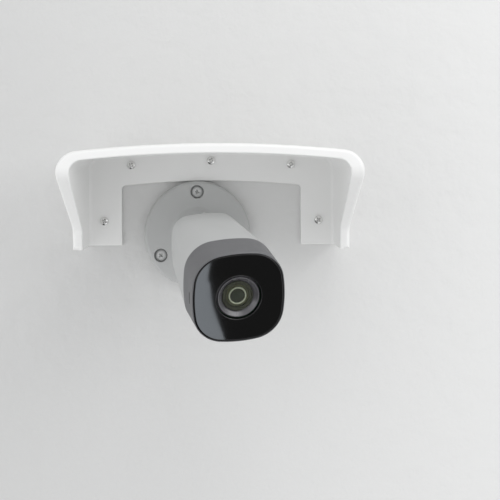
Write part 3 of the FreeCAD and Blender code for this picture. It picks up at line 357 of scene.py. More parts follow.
def add_bump(material, shader, height, strength, distance):
    """A bump from a height socket into the shader's normal."""
    bump = material.node_tree.nodes.new("ShaderNodeBump")
    bump.inputs["Strength"].default_value = strength
    bump.inputs["Distance"].default_value = distance
    material.node_tree.links.new(height, bump.inputs["Height"])
    material.node_tree.links.new(bump.outputs["Normal"], shader.inputs["Normal"])


def moulded(name, rgb, shade, smooth, rough, drift=30.0, grain=2500.0, grain_height=0.00002):
    """Plastic or paint with a slow drift and a fine grain."""
    material, shader = new_material(name, rgb, smooth)
    surface = place_group(
        material,
        "Moulded surface",
        Colour=rgb,
        Shade=shade,
        Drift_scale=drift,
        Grain_scale=grain,
        Smooth=smooth,
        Rough=rough,
    )
    links = material.node_tree.links
    links.new(surface.outputs["Colour"], shader.inputs["Base Color"])
    links.new(surface.outputs["Roughness"], shader.inputs["Roughness"])
    add_bump(material, shader, surface.outputs["Height"], 0.5, grain_height)
    return material, shader, surface


def metal(name, rgb, smooth, rough, scratches=1500.0):
    """Bare or plated metal with fine scratches."""
    material, shader = new_material(name, rgb, smooth, metallic=1.0)
    surface = place_group(material, "Worked metal", Scratch_scale=scratches, Smooth=smooth, Rough=rough)
    material.node_tree.links.new(surface.outputs["Roughness"], shader.inputs["Roughness"])
    add_bump(material, shader, surface.outputs["Height"], 0.3, 0.00001)
    return material


def hood_plastic(look):
    """White weather-proof plastic with a soft gloss and a little dust on its upward faces."""
    material, shader, surface = moulded(
        "hood white plastic",
        tuple(look.plastic),
        tuple(look.shade),
        look.roughness,
        look.roughness + 0.08,
        drift=18.0,
        grain=1800.0,
    )
    dust = place_group(material, "Settled dust", Amount=look.dust_amount, Patch_scale=70.0)
    blend = material.node_tree.nodes.new("ShaderNodeMix")
    blend.data_type = "RGBA"
    blend.inputs["B"].default_value = (*look.dust, 1)
    links = material.node_tree.links
    links.new(dust.outputs["Mask"], blend.inputs["Factor"])
    links.new(surface.outputs["Colour"], blend.inputs["A"])
    links.new(blend.outputs["Result"], shader.inputs["Base Color"])
    return material


def camera_paint(look):
    """Satin white paint on the camera's base, bracket and body."""
    return moulded(
        "camera white paint", tuple(look.paint), tuple(look.paint_shade), 0.42, 0.52, drift=45.0, grain=3200.0
    )[0]


def bezel_paint(look):
    """Dark grey satin finish of the front cap, with a fine sandy grain and painted shade: a near-black band on the rim
    round the window, kept grey at the top.
    """
    material, shader, surface = moulded(
        "bezel grey", tuple(look.bezel), tuple(look.bezel_shade), 0.40, 0.50, drift=60.0, grain=4200.0,
        grain_height=0.00003,
    )
    nodes, links = material.node_tree.nodes, material.node_tree.links
    place = nodes.new("ShaderNodeTexCoord")
    centre = CAMERA_PLACE @ Vector((0, -FACE_OUT, 0))
    upwards = (Vector((0, 0, 1)) - CAMERA_AXIS.z * CAMERA_AXIS).normalized()
    # Painted shade: the rim round the window goes near black, except on its upper side, which keeps the grey finish
    rim_shade_masks = []
    for axis, start, end in ((CAMERA_AXIS, -RIM_SHADE_DEPTH, -0.8 * RIM_SHADE_DEPTH), (-upwards, *RIM_SHADE_FADE)):
        along = nodes.new("ShaderNodeVectorMath")
        along.operation = "DOT_PRODUCT"
        along.inputs[1].default_value = axis
        span = nodes.new("ShaderNodeMapRange")
        span.inputs["From Min"].default_value = centre.dot(axis) + start
        span.inputs["From Max"].default_value = centre.dot(axis) + end
        links.new(place.outputs["Object"], along.inputs[0])
        links.new(along.outputs["Value"], span.inputs["Value"])
        rim_shade_masks.append(span.outputs["Result"])
    both = nodes.new("ShaderNodeMath")
    both.operation = "MULTIPLY"
    blend = nodes.new("ShaderNodeMix")
    blend.data_type = "RGBA"
    # Near-black colour of the painted shade on the rim
    blend.inputs["B"].default_value = (0.006, 0.007, 0.009, 1)
    links.new(rim_shade_masks[0], both.inputs[0])
    links.new(rim_shade_masks[1], both.inputs[1])
    links.new(both.outputs[0], blend.inputs["Factor"])
    links.new(surface.outputs["Colour"], blend.inputs["A"])
    links.new(blend.outputs["Result"], shader.inputs["Base Color"])
    return material


def window_acrylic(look):
    """Polished black acrylic, with the faintest smears in its gloss."""
    material, shader = new_material("window black acrylic", tuple(look.window), 0.03, ior=1.49)
    surface = place_group(
        material, "Moulded surface", Colour=tuple(look.window), Shade=tuple(look.window), Drift_scale=50.0,
        Grain_scale=400.0, Smooth=0.015, Rough=0.05,
    )
    material.node_tree.links.new(surface.outputs["Roughness"], shader.inputs["Roughness"])
    return material


def glossy_cone(look):
    """Dark lacquered metal of the conical ring, with a strong soft gloss."""
    material, shader, _ = moulded("shroud grey", tuple(look.shroud), tuple(look.shroud), 0.24, 0.32)
    shader.inputs["IOR"].default_value = 1.75
    return material


def lens_glass():
    """Glass with an anti-reflection coating, so that it lets nearly everything through."""
    material, shader = new_material("coated lens glass", (0.86, 0.88, 0.82), 0.0, ior=1.12)
    shader.inputs["Transmission Weight"].default_value = 1.0
    return material


def inner_glass():
    """Dark coated glass of the deep lens elements."""
    material, shader = new_material("inner lens glass", (0.012, 0.013, 0.008), 0.05, ior=1.3)
    shader.inputs["Coat Weight"].default_value = 0.5
    shader.inputs["Coat Roughness"].default_value = 0.02
    shader.inputs["Coat Tint"].default_value = (0.75, 0.95, 0.80, 1)
    return material


def circuit_green():
    """Green solder mask over faint copper traces."""
    material, shader = new_material("circuit green", (0.02, 0.12, 0.05), 0.35)
    nodes, links = material.node_tree.nodes, material.node_tree.links
    place = nodes.new("ShaderNodeTexCoord")
    traces = nodes.new("ShaderNodeTexBrick")
    traces.inputs["Color1"].default_value = (0.020, 0.125, 0.050, 1)
    traces.inputs["Color2"].default_value = (0.016, 0.105, 0.042, 1)
    traces.inputs["Mortar"].default_value = (0.045, 0.20, 0.075, 1)
    traces.inputs["Scale"].default_value = 160.0
    traces.inputs["Mortar Size"].default_value = 0.03
    links.new(place.outputs["Object"], traces.inputs["Vector"])
    links.new(traces.outputs["Color"], shader.inputs["Base Color"])
    add_bump(material, shader, traces.outputs["Fac"], 0.4, 0.00003)
    return material


def make_materials(scene):
    """Every finish of the object, by the record's material slot."""
    moulded_surface_group()
    settled_dust_group()
    worked_metal_group()
    hood, camera, lens, screw = scene.hood_look, scene.camera_look, scene.lens_look, scene.screw_look
    black = (0.018, 0.018, 0.019)
    paint = camera_paint(camera)
    return {
        "hood_white": hood_plastic(hood),
        "camera_white": paint,
        # Painted light: lighter than the camera's white paint, to offset the shade in the screws' recesses
        "screw_painted": moulded("painted screw", tuple(screw.painted), tuple(screw.painted), 0.38, 0.48)[0],
        "bezel_grey": bezel_paint(camera),
        "window_black": window_acrylic(camera),
        "shroud_grey": glossy_cone(lens),
        "lens_black": moulded("lens barrel coating", tuple(lens.olive), (0.028, 0.029, 0.016), 0.30, 0.42)[0],
        # Painted highlight: a lighter copy of the barrel's coating, so the ridges show as a bright ring
        "lens_ridges": moulded("lens ridges", tuple(lens.ridge), tuple(lens.ridge), 0.35, 0.45)[0],
        "lens_glass": lens_glass(),
        "inner_glass": inner_glass(),
        "ring_aluminium": metal("bright lens ring", tuple(lens.ring), 0.22, 0.34),
        "screw_steel": metal("plated steel", tuple(screw.steel), 0.12, 0.24, scratches=2600.0),
        "nut_brass": metal("turned brass", (0.55, 0.40, 0.17), 0.25, 0.38),
        "pillar_brass": metal("pillar brass", (0.58, 0.43, 0.20), 0.22, 0.35),
        "sink_aluminium": metal("sink aluminium", (0.62, 0.62, 0.63), 0.30, 0.48),
        "inner_plastic": moulded("inner black plastic", black, (0.013, 0.013, 0.014), 0.45, 0.60)[0],
        "rubber": moulded("black rubber", (0.022, 0.022, 0.022), (0.030, 0.029, 0.028), 0.65, 0.85)[0],
        "board_green": circuit_green(),
        "led_clear": moulded("diode resin", (0.12, 0.11, 0.14), (0.10, 0.09, 0.12), 0.10, 0.18)[0],
        "chip_black": moulded("chip package", (0.020, 0.020, 0.021), (0.026, 0.026, 0.027), 0.50, 0.65)[0],
        "socket_plastic": moulded("socket plastic", (0.62, 0.60, 0.52), (0.57, 0.55, 0.47), 0.40, 0.52)[0],
    }


def finish_of(slot):
    """The material of a slot, made on first use."""
    if not STATE["materials"]:
        STATE["materials"] = make_materials(bpy.context.scene)
    return STATE["materials"][slot]


STATE = {"materials": {}}


# Meshes


def slot_of(node):
    """The record's material slot of a node."""
    for row in frame["record"]["subparts"]:
        if row["node"] == node:
            return row["material_slot"]
    raise ValueError(f"no slot for {node}")


def body_with(node):
    """The body that a node rides on."""
    return frame["nodes"][node]["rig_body"]


def linked(name, mesh, material):
    """A new object with a mesh and a material, in the scene."""
    piece = bpy.data.objects.new(name, mesh)
    mesh.materials.clear()
    mesh.materials.append(material)
    bpy.context.scene.collection.objects.link(piece)
    return piece


def bake_modifiers(piece):
    """The object's evaluated mesh put in place of its mesh and modifiers."""
    graph = bpy.context.evaluated_depsgraph_get()
    mesh = bpy.data.meshes.new_from_object(piece.evaluated_get(graph), depsgraph=graph)
    piece.modifiers.clear()
    piece.data = mesh
    return piece


def mark_sharp(mesh, angle=SMOOTH_ANGLE):
    """Smooth faces with sharp edges where the surface turns by more than an angle."""
    editor = bmesh.new()
    editor.from_mesh(mesh)
    for face in editor.faces:
        face.smooth = True
    for edge in editor.edges:
        edge.smooth = edge.is_manifold and edge.calc_face_angle(0.0) < angle
    editor.to_mesh(mesh)
    editor.free()


def seat(piece, slot, body, *nodes):
    """Attaches a finished piece to its body and hides the construction nodes that it stands for. The slot is not used.
    """
    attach(piece, body)
    if nodes:
        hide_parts(*nodes)
    return piece


def rounded_copy(node, edge_round, segments=2, slot=None, wanted=None):
    """A merged copy of a node with small edges rounded, all or those wanted, which stands for that node."""
    mesh = frame["nodes"][node].data.copy()
    editor = bmesh.new()
    editor.from_mesh(mesh)
    bmesh.ops.remove_doubles(editor, verts=editor.verts, dist=MERGE_DISTANCE)
    bmesh.ops.dissolve_limit(
        editor, angle_limit=FLAT_ANGLE, verts=editor.verts, edges=editor.edges, delimit={"NORMAL"}
    )
    editor.to_mesh(mesh)
    editor.free()
    slot = slot or slot_of(node)
    piece = linked(node + "_finished", mesh, finish_of(slot))
    if edge_round:
        bevel = piece.modifiers.new("small edges", "BEVEL")
        bevel.width = edge_round
        bevel.segments = segments
        bevel.limit_method = "WEIGHT" if wanted else "ANGLE"
        bevel.angle_limit = SMOOTH_ANGLE
        bevel.use_clamp_overlap = False
        bevel.miter_outer = "MITER_ARC"
    if wanted:
        weigh_edges(mesh, wanted)
    mark_sharp(mesh)
    even = piece.modifiers.new("even normals", "WEIGHTED_NORMAL")
    even.keep_sharp = True
    bake_modifiers(piece)
    return seat(piece, slot if slot in RECORD_SLOTS else slot_of(node), body_with(node), node)


def on_flange_foot(point):
    """Whether a point of the hood lies on the lower front edge of its wall flange."""
    beside_notch = abs(point.x - HOOD_CENTRE_X) > FLANGE_FOOT_START
    return beside_notch and abs(point.y + FLANGE_THICKNESS) < NEAR and abs(point.z - FLANGE_FOOT_Z) < 5 * NEAR


NEAR = 0.1 * MM
FLANGE_THICKNESS = 3.0 * MM
FLANGE_FOOT_START = 59.5 * MM
FLANGE_FOOT_Z = -7.2 * MM


RECORD_SLOTS = {row["slot"] for row in frame["record"]["materials"]}


def dress(*nodes):
    """Construction nodes whose form is right as it is get their finish."""
    for node in nodes:
        mesh = frame["nodes"][node].data
        mesh.materials.clear()
        mesh.materials.append(finish_of(slot_of(node)))
        for polygon in mesh.polygons:
            polygon.use_smooth = False


def weigh_edges(mesh, wanted):
    """Marks the sharp edges whose middle passes a test, so that a bevel rounds only those."""
    editor = bmesh.new()
    editor.from_mesh(mesh)
    weights = editor.edges.layers.float.new("bevel_weight_edge")
    for edge in editor.edges:
        sharp = edge.is_manifold and edge.calc_face_angle(0.0) > SMOOTH_ANGLE
        a, b = edge.verts[0].co, edge.verts[1].co
        edge[weights] = 1.0 if sharp and wanted(a) and wanted(b) else 0.0
    editor.to_mesh(mesh)
    editor.free()


def turned_mesh(name, profile, segments=128, closed=True):
    """A mesh turned about the -Y axis from (radius, out) points."""
    mesh = bpy.data.meshes.new(name)
    editor = bmesh.new()
    rings = []
    for radius, out in profile:
        if radius < 1e-7:
            rings.append([editor.verts.new((0, -out, 0))])
            continue
        ring = []
        for i in range(segments):
            angle = 2 * math.pi * i / segments
            ring.append(editor.verts.new((radius * math.cos(angle), -out, radius * math.sin(angle))))
        rings.append(ring)
    pairs = list(zip(rings, rings[1:]))
    if closed:
        pairs.append((rings[-1], rings[0]))
    for a, b in pairs:
        for i in range(segments):
            j = (i + 1) % segments
            if len(a) == 1 and len(b) == 1:
                break
            if len(a) == 1:
                editor.faces.new((a[0], b[j], b[i]))
            elif len(b) == 1:
                editor.faces.new((a[i], a[j], b[0]))
            else:
                editor.faces.new((a[i], a[j], b[j], b[i]))
    bmesh.ops.recalc_face_normals(editor, faces=editor.faces)
    editor.to_mesh(mesh)
    editor.free()
    return mesh


def eased(profile, radius, steps=4):
    """A closed (radius, out) outline with its corners rounded, apart from those on the axis."""
    points = []
    count = len(profile)
    for i, here in enumerate(profile):
        before, after = Vector(profile[i - 1]), Vector(profile[(i + 1) % count])
        corner = Vector(here)
        back, ahead = before - corner, after - corner
        reach = min(radius, 0.45 * back.length, 0.45 * ahead.length)
        if corner.x < 1e-7 or reach < 1e-7:
            points.append(tuple(corner))
            continue
        start = corner + back.normalized() * reach
        end = corner + ahead.normalized() * reach
        for step in range(steps + 1):
            share = step / steps
            points.append(tuple(start.lerp(corner, share).lerp(corner.lerp(end, share), share)))
    return points


def cap(radius, rise, top, steps=24):
    """The (radius, out) points of a spherical cap, from its rim to its top on the axis."""
    ball_r = (radius**2 + rise**2) / (2 * rise)
    lean = math.asin(radius / ball_r)
    angles = [lean * (1 - i / steps) for i in range(steps + 1)]
    return [(ball_r * math.sin(a), top - ball_r + ball_r * math.cos(a)) for a in angles[:-1]] + [(0.0, top)]


def own_piece(name, mesh, slot, node, place=CAMERA_PLACE):
    """A mesh made about the -Y axis, set in its place for a construction node."""
    mesh.transform(place)
    mark_sharp(mesh)
    piece = linked(name, mesh, finish_of(slot))
    even = piece.modifiers.new("even normals", "WEIGHTED_NORMAL")
    even.keep_sharp = True
    bake_modifiers(piece)
    return seat(piece, slot_of(node), body_with(node), node)


def turned_piece(node, profile, ease=0.12 * MM, slot=None, closed=True):
    """A smooth turned piece on the camera's axis that stands for a construction node."""
    points = eased(profile, ease) if ease else profile
    return own_piece(node + "_finished", turned_mesh(node, points, closed=closed), slot or slot_of(node), node)


def outline_reach(form, angle):
    """How far a square with bowed sides and round corners reaches from its centre at an angle."""
    half, side_r, corner_r = form
    turn = (angle + math.pi / 4) % (math.pi / 2) - math.pi / 4
    side_centre = half - side_r
    reach = side_r - corner_r
    corner = (side_centre + math.sqrt(2 * reach**2 - side_centre**2)) / 2
    far_end = corner + corner_r * (corner - side_centre) / reach
    near_end = corner + corner_r * corner / reach
    if abs(turn) < math.atan2(near_end, far_end):
        centre, radius = Vector((side_centre, 0)), side_r
    else:
        centre, radius = Vector((corner, math.copysign(corner, turn))), corner_r
    along = centre.dot(Vector((math.cos(turn), math.sin(turn))))
    return along + math.sqrt(radius**2 - centre.length_squared + along**2)


def outline_loop(inset, out, count):
    """Points round the face's outline, moved inwards, at a distance out."""
    form = [size - inset for size in FACE_FORM]
    loop = []
    for i in range(count):
        angle = 2 * math.pi * i / count
        reach = outline_reach(form, angle)
        loop.append((reach * math.cos(angle), -out, reach * math.sin(angle)))
    return loop


def circle_loop(radius, out, count):
    """Points round a circle about the -Y axis at a distance out."""
    angles = [2 * math.pi * i / count for i in range(count)]
    return [(radius * math.cos(a), -out, radius * math.sin(a)) for a in angles]


def skin_over(name, loops):
    """A closed mesh over loops of equally many points, the last joined to the first."""
    count = len(loops[0])
    faces = []
    for a in range(len(loops)):
        b = (a + 1) % len(loops)
        for i in range(count):
            j = (i + 1) % count
            faces.append((a * count + i, a * count + j, b * count + j, b * count + i))
    mesh = bpy.data.meshes.new(name)
    mesh.from_pydata([point for loop in loops for point in loop], [], faces)
    editor = bmesh.new()
    editor.from_mesh(mesh)
    bmesh.ops.recalc_face_normals(editor, faces=editor.faces)
    editor.to_mesh(mesh)
    editor.free()
    return mesh


def window_mesh(edge_r, count=240, steps=6):
    """The front panel: a rounded outer edge, a flat face and a rounded edge round its opening."""
    back = FACE_OUT - WINDOW_THICKNESS
    loops = [outline_loop(WINDOW_INSET, back, count)]
    for i in range(steps + 1):
        angle = 0.5 * math.pi * i / steps
        inset = WINDOW_INSET + edge_r * (1 - math.cos(angle))
        loops.append(outline_loop(inset, FACE_OUT - edge_r * (1 - math.sin(angle)), count))
    for i in range(steps + 1):
        angle = 0.5 * math.pi * i / steps
        radius = WINDOW_HOLE_R + WINDOW_HOLE_EDGE * (1 - math.sin(angle))
        loops.append(circle_loop(radius, FACE_OUT - WINDOW_HOLE_EDGE * (1 - math.cos(angle)), count))
    loops.append(circle_loop(WINDOW_HOLE_R, back, count))
    return skin_over("front_window", loops)


# Geometry node trees


def new_tree(name, inputs):
    """A geometry node tree with a geometry input and named inputs, each (name, type, default)."""
    tree = bpy.data.node_groups.new(name, "GeometryNodeTree")
    tree.interface.new_socket("Geometry", in_out="INPUT", socket_type="NodeSocketGeometry")
    for socket_name, kind, default in inputs:
        socket = tree.interface.new_socket(socket_name, in_out="INPUT", socket_type=kind)
        if default is not None:
            socket.default_value = default
    tree.interface.new_socket("Geometry", in_out="OUTPUT", socket_type="NodeSocketGeometry")
    return tree, tree.nodes.new("NodeGroupInput"), tree.nodes.new("NodeGroupOutput")


def end_tree(tree, geometry, material_socket, end):
    """Realize Instances and Set Material before the tree's output."""
    realize = tree.nodes.new("GeometryNodeRealizeInstances")
    paint = tree.nodes.new("GeometryNodeSetMaterial")
    tree.links.new(geometry, realize.inputs["Geometry"])
    tree.links.new(realize.outputs["Geometry"], paint.inputs["Geometry"])
    tree.links.new(material_socket, paint.inputs["Material"])
    tree.links.new(paint.outputs["Geometry"], end.inputs["Geometry"])


def divided(tree, a, b):
    """The quotient of two sockets."""
    node = tree.nodes.new("ShaderNodeMath")
    node.operation = "DIVIDE"
    tree.links.new(a, node.inputs[0])
    tree.links.new(b, node.inputs[1])
    return node.outputs[0]


def wall_screw_tree():
    """Threaded screws on the points of a mesh, each turned by the point's own angle."""
    tree, start, end = new_tree(
        "Wall screws",
        [
            ("Screw", "NodeSocketObject", None),
            ("Core radius", "NodeSocketFloat", 0.0014),
            ("Ridge", "NodeSocketFloat", 0.0004),
            ("Pitch", "NodeSocketFloat", 0.0014),
            ("Thread length", "NodeSocketFloat", 0.017),
            ("Turn steps", "NodeSocketInt", 20),
            ("Finish", "NodeSocketMaterial", None),
        ],
    )
    nodes, links = tree.nodes, tree.links
    spiral = nodes.new("GeometryNodeCurveSpiral")
    turns = divided(tree, start.outputs["Thread length"], start.outputs["Pitch"])
    links.new(start.outputs["Turn steps"], spiral.inputs["Resolution"])
    links.new(turns, spiral.inputs["Rotations"])
    links.new(start.outputs["Core radius"], spiral.inputs["Start Radius"])
    links.new(start.outputs["Core radius"], spiral.inputs["End Radius"])
    links.new(start.outputs["Thread length"], spiral.inputs["Height"])
    profile = nodes.new("GeometryNodeCurvePrimitiveCircle")
    profile.inputs["Resolution"].default_value = 3
    links.new(start.outputs["Ridge"], profile.inputs["Radius"])
    sweep = nodes.new("GeometryNodeCurveToMesh")
    sweep.inputs["Fill Caps"].default_value = True
    links.new(spiral.outputs["Curve"], sweep.inputs["Curve"])
    links.new(profile.outputs["Curve"], sweep.inputs["Profile Curve"])
    lay = nodes.new("GeometryNodeTransform")
    lay.inputs["Rotation"].default_value = (math.radians(-90), 0, 0)
    links.new(sweep.outputs["Mesh"], lay.inputs["Geometry"])
    screw = nodes.new("GeometryNodeObjectInfo")
    links.new(start.outputs["Screw"], screw.inputs["Object"])
    join = nodes.new("GeometryNodeJoinGeometry")
    links.new(lay.outputs["Geometry"], join.inputs["Geometry"])
    links.new(screw.outputs["Geometry"], join.inputs["Geometry"])
    angle = nodes.new("GeometryNodeInputNamedAttribute")
    angle.data_type = "FLOAT"
    angle.inputs["Name"].default_value = "turn"
    turn = nodes.new("FunctionNodeAxisAngleToRotation")
    turn.inputs["Axis"].default_value = (0, 1, 0)
    links.new(angle.outputs["Attribute"], turn.inputs["Angle"])
    spread = nodes.new("GeometryNodeInstanceOnPoints")
    links.new(start.outputs["Geometry"], spread.inputs["Points"])
    links.new(join.outputs["Geometry"], spread.inputs["Instance"])
    links.new(turn.outputs["Rotation"], spread.inputs["Rotation"])
    end_tree(tree, spread.outputs["Instances"], start.outputs["Finish"], end)
    return tree


def ridge_tree():
    """Rings about the Y axis that grow by an even pitch, as the anti-glare grooves on a lens barrel."""
    tree, start, end = new_tree(
        "Barrel ridges",
        [
            ("Radius", "NodeSocketFloat", 0.008),
            ("Ridge", "NodeSocketFloat", 0.0001),
            ("Pitch", "NodeSocketFloat", 0.0005),
            ("Count", "NodeSocketInt", 3),
            ("Finish", "NodeSocketMaterial", None),
        ],
    )
    nodes, links = tree.nodes, tree.links
    line = nodes.new("GeometryNodeMeshLine")
    line.inputs["Offset"].default_value = (0, 0, 0)
    links.new(start.outputs["Count"], line.inputs["Count"])
    circle = nodes.new("GeometryNodeCurvePrimitiveCircle")
    circle.inputs["Resolution"].default_value = 128
    links.new(start.outputs["Radius"], circle.inputs["Radius"])
    profile = nodes.new("GeometryNodeCurvePrimitiveCircle")
    profile.inputs["Resolution"].default_value = 8
    links.new(start.outputs["Ridge"], profile.inputs["Radius"])
    sweep = nodes.new("GeometryNodeCurveToMesh")
    links.new(circle.outputs["Curve"], sweep.inputs["Curve"])
    links.new(profile.outputs["Curve"], sweep.inputs["Profile Curve"])
    lay = nodes.new("GeometryNodeTransform")
    lay.inputs["Rotation"].default_value = (math.radians(90), 0, 0)
    links.new(sweep.outputs["Mesh"], lay.inputs["Geometry"])
    index = nodes.new("GeometryNodeInputIndex")
    growth = nodes.new("ShaderNodeMath")
    growth.operation = "MULTIPLY_ADD"
    growth.inputs[2].default_value = 1.0
    links.new(index.outputs["Index"], growth.inputs[0])
    links.new(divided(tree, start.outputs["Pitch"], start.outputs["Radius"]), growth.inputs[1])
    spread = nodes.new("GeometryNodeInstanceOnPoints")
    links.new(line.outputs["Mesh"], spread.inputs["Points"])
    links.new(lay.outputs["Geometry"], spread.inputs["Instance"])
    links.new(growth.outputs[0], spread.inputs["Scale"])
    end_tree(tree, spread.outputs["Instances"], start.outputs["Finish"], end)
    return tree


def run_tree(piece, tree, **values):
    """A tree on an object with its named inputs set, turned into a plain mesh."""
    modifier = piece.modifiers.new(tree.name, "NODES")
    modifier.node_group = tree
    names = {item.name: item.identifier for item in tree.interface.items_tree if item.in_out == "INPUT"}
    for name, value in values.items():
        modifier[names[name.replace("_", " ")]] = value
    piece.update_tag()
    return bake_modifiers(piece)


def screw_form(name, head_r, head_height, neck_r, thread_r, seat_out, in_wall, recess):
    """A pan-head screw on the Y axis with a tapered cross recess; its thread is added by the tree.

    The recess is the reach and half width of its arms as shares of the head's radius, and its depth as a
    share of the head's height.
    """
    core_r = thread_r - THREAD_RIDGE
    top = seat_out + head_height
    crown = 0.22 * head_height
    profile = [(0.0, top)]
    steps = 8
    for i in range(1, steps + 1):
        angle = 0.5 * math.pi * i / steps
        profile.append((head_r * math.sin(angle), seat_out + crown + (head_height - crown) * math.cos(angle)))
    profile += [(head_r, seat_out), (neck_r, seat_out), (neck_r, 0.0), (core_r, 0.0)]
    profile += [(core_r, POINT_LENGTH - in_wall), (0.0, -in_wall)]
    mesh = turned_mesh(name, profile, segments=48, closed=False)
    screw = linked(name, mesh, finish_of("screw_steel"))
    reach, arm, depth = recess
    cutter = cross_cutter(name + "_recess", reach * head_r, arm * head_r, top, depth * head_height)
    cut = screw.modifiers.new("recess", "BOOLEAN")
    cut.operation = "DIFFERENCE"
    cut.solver = "EXACT"
    cut.object = cutter
    bake_modifiers(screw)
    mark_sharp(screw.data)
    bpy.data.objects.remove(cutter)
    return screw


THREAD_RIDGE = 0.35 * MM
POINT_LENGTH = 3.0 * MM


def cross_cutter(name, reach, arm, top, depth):
    """A cross with tapered arms, from just over the head down into it."""
    mesh = bpy.data.meshes.new(name)
    editor = bmesh.new()
    outline = []
    for quarter in range(4):
        turn = Matrix.Rotation(-quarter * math.pi / 2, 3, "Y")
        for x, z in ((reach, -arm), (reach, arm), (arm, arm)):
            outline.append(turn @ Vector((x, 0, z)))
    rings = []
    for share, out in ((1.25, top + 0.4 * depth), (1.0, top - 0.1 * depth), (0.45, top - depth)):
        ring = []
        for point in outline:
            ring.append(editor.verts.new((point.x * share, -out, point.z * share)))
        rings.append(ring)
    for a, b in zip(rings, rings[1:]):
        for i in range(len(a)):
            j = (i + 1) % len(a)
            editor.faces.new((a[i], a[j], b[j], b[i]))
    editor.faces.new(rings[0])
    editor.faces.new(rings[-1])
    bmesh.ops.recalc_face_normals(editor, faces=editor.faces)
    editor.to_mesh(mesh)
    editor.free()
    return linked(name, mesh, finish_of("screw_steel"))


def screw_set(node, screw, spots, thread_r, thread_length, pitch):
    """Copies of a screw at (x, z, turn in degrees) places on the wall, for a construction node."""
    mesh = bpy.data.meshes.new(node + "_places")
    mesh.from_pydata([(x, 0, z) for x, z, _ in spots], [], [])
    turns = mesh.attributes.new("turn", "FLOAT", "POINT")
    turns.data.foreach_set("value", [math.radians(turn) for _, _, turn in spots])
    slot = slot_of(node)
    piece = linked(node + "_finished", mesh, finish_of(slot))
    tree = bpy.data.node_groups.get("Wall screws") or wall_screw_tree()
    run_tree(
        piece,
        tree,
        Screw=screw,
        Core_radius=thread_r - THREAD_RIDGE,
        Ridge=THREAD_RIDGE,
        Pitch=pitch,
        Thread_length=thread_length,
        Finish=finish_of(slot),
    )
    mark_sharp(piece.data)
    bpy.data.objects.remove(screw)
    return seat(piece, slot, "root", node)


# Operators


class DressHood(bpy.types.Operator):
    """Give the hood its rounded edges and white plastic"""

    bl_idname = "hooded_camera.dress_hood"
    bl_label = "Dress the hood"

    def execute(self, context):
        rounded_copy("hood_shell", context.scene.hood_look.edge_round, wanted=on_flange_foot)
        return {"FINISHED"}


class FitHoodScrews(bpy.types.Operator):
    """Fit the five cross-head screws of the hood"""

    bl_idname = "hooded_camera.fit_hood_screws"
    bl_label = "Fit the hood's screws"

    def execute(self, context):
        look = context.scene.screw_look
        screw = screw_form(
            "hood_screw", look.hood_head_r, look.hood_head_height, 2.0 * MM, look.hood_thread_r, 3.0 * MM, 20 * MM,
            (0.62, 0.18, 0.78),
        )
        screw_set("hood_screws", screw, HOOD_SCREW_SPOTS, look.hood_thread_r, 16.5 * MM, look.pitch)
        return {"FINISHED"}


class FitBaseScrews(bpy.types.Operator):
    """Fit the three screws of the camera's base"""

    bl_idname = "hooded_camera.fit_base_screws"
    bl_label = "Fit the base's screws"

    def execute(self, context):
        look = context.scene.screw_look
        screw = screw_form(
            "base_screw", look.base_head_r, look.base_head_height, 2.2 * MM, look.base_thread_r, 3.4 * MM, 24 * MM,
            (0.44, 0.15, 0.90),
        )
        spots = []
        for i, turn in enumerate(BASE_SCREW_TURNS):
            angle = math.pi / 2 + i * 2 * math.pi / len(BASE_SCREW_TURNS)
            spots.append((BASE_BOLT_CIRCLE_R * math.cos(angle), BASE_BOLT_CIRCLE_R * math.sin(angle), turn))
        screw_set("base_screws", screw, spots, look.base_thread_r, 20.5 * MM, look.pitch)
        return {"FINISHED"}


class DressMount(bpy.types.Operator):
    """Finish the base, the fork, the knuckle and what holds them together"""

    bl_idname = "hooded_camera.dress_mount"
    bl_label = "Dress the mount"

    def execute(self, context):
        edge = context.scene.camera_look.edge_round
        for node, share in MOUNT_ROUNDS.items():
            rounded_copy(node, share * edge)
        return {"FINISHED"}


# Share of the small edge's radius that each piece of the mount takes
MOUNT_ROUNDS = {
    "base_plate": 0.8, "swivel_fork": 0.4, "tilt_knuckle": 0.2, "pivot_screws": 1.0, "swivel_retainer": 0.6,
    "cable_grommet": 0.6, "neck_nut": 0.6,
}


class DressBody(bpy.types.Operator):
    """Finish the white body, the dark front cap and the seal between them"""

    bl_idname = "hooded_camera.dress_body"
    bl_label = "Dress the body"

    def execute(self, context):
        edge = context.scene.camera_look.edge_round
        rounded_copy("body_shell", edge)
        rounded_copy("front_bezel", 0.4 * edge)
        # Painted shade: a black disc that darkens the slot in the front cap
        paint_slot_shade()
        dress("body_seal", "window_seal")
        return {"FINISHED"}


def paint_slot_shade():
    """A thin disc in the black rubber finish on the floor of the slot in the front cap's left cheek: painted shade that
    darkens the slot.
    """
    outline = [(0.0, 0.0), (SLOT_HALF_WIDTH, 0.0), (SLOT_HALF_WIDTH, SLOT_SHADE_THICKNESS), (0.0, SLOT_SHADE_THICKNESS)]
    mesh = turned_mesh("bezel_slot_lining", outline, segments=32, closed=False)
    spot = Matrix.Translation((-SLOT_FLOOR, SLOT_BEHIND_FACE - FACE_OUT, SLOT_Z))
    stretch = Matrix.Scale(SLOT_HALF_LENGTH / SLOT_HALF_WIDTH, 4, Vector((0, 0, 1)))
    mesh.transform(CAMERA_PLACE @ spot @ Matrix.Rotation(-math.pi / 2, 4, "Z") @ stretch)
    piece = linked("bezel_slot_lining", mesh, finish_of("rubber"))
    mark_sharp(mesh)
    seat(piece, slot_of("body_seal"), body_with("front_bezel"))


# Size and place of the black disc of painted shade in the slot
SLOT_HALF_WIDTH = 0.8 * MM
SLOT_HALF_LENGTH = 3.7 * MM
SLOT_FLOOR = 27.6 * MM
SLOT_SHADE_THICKNESS = 0.9 * MM
SLOT_BEHIND_FACE = 8.0 * MM
SLOT_Z = -0.5 * MM


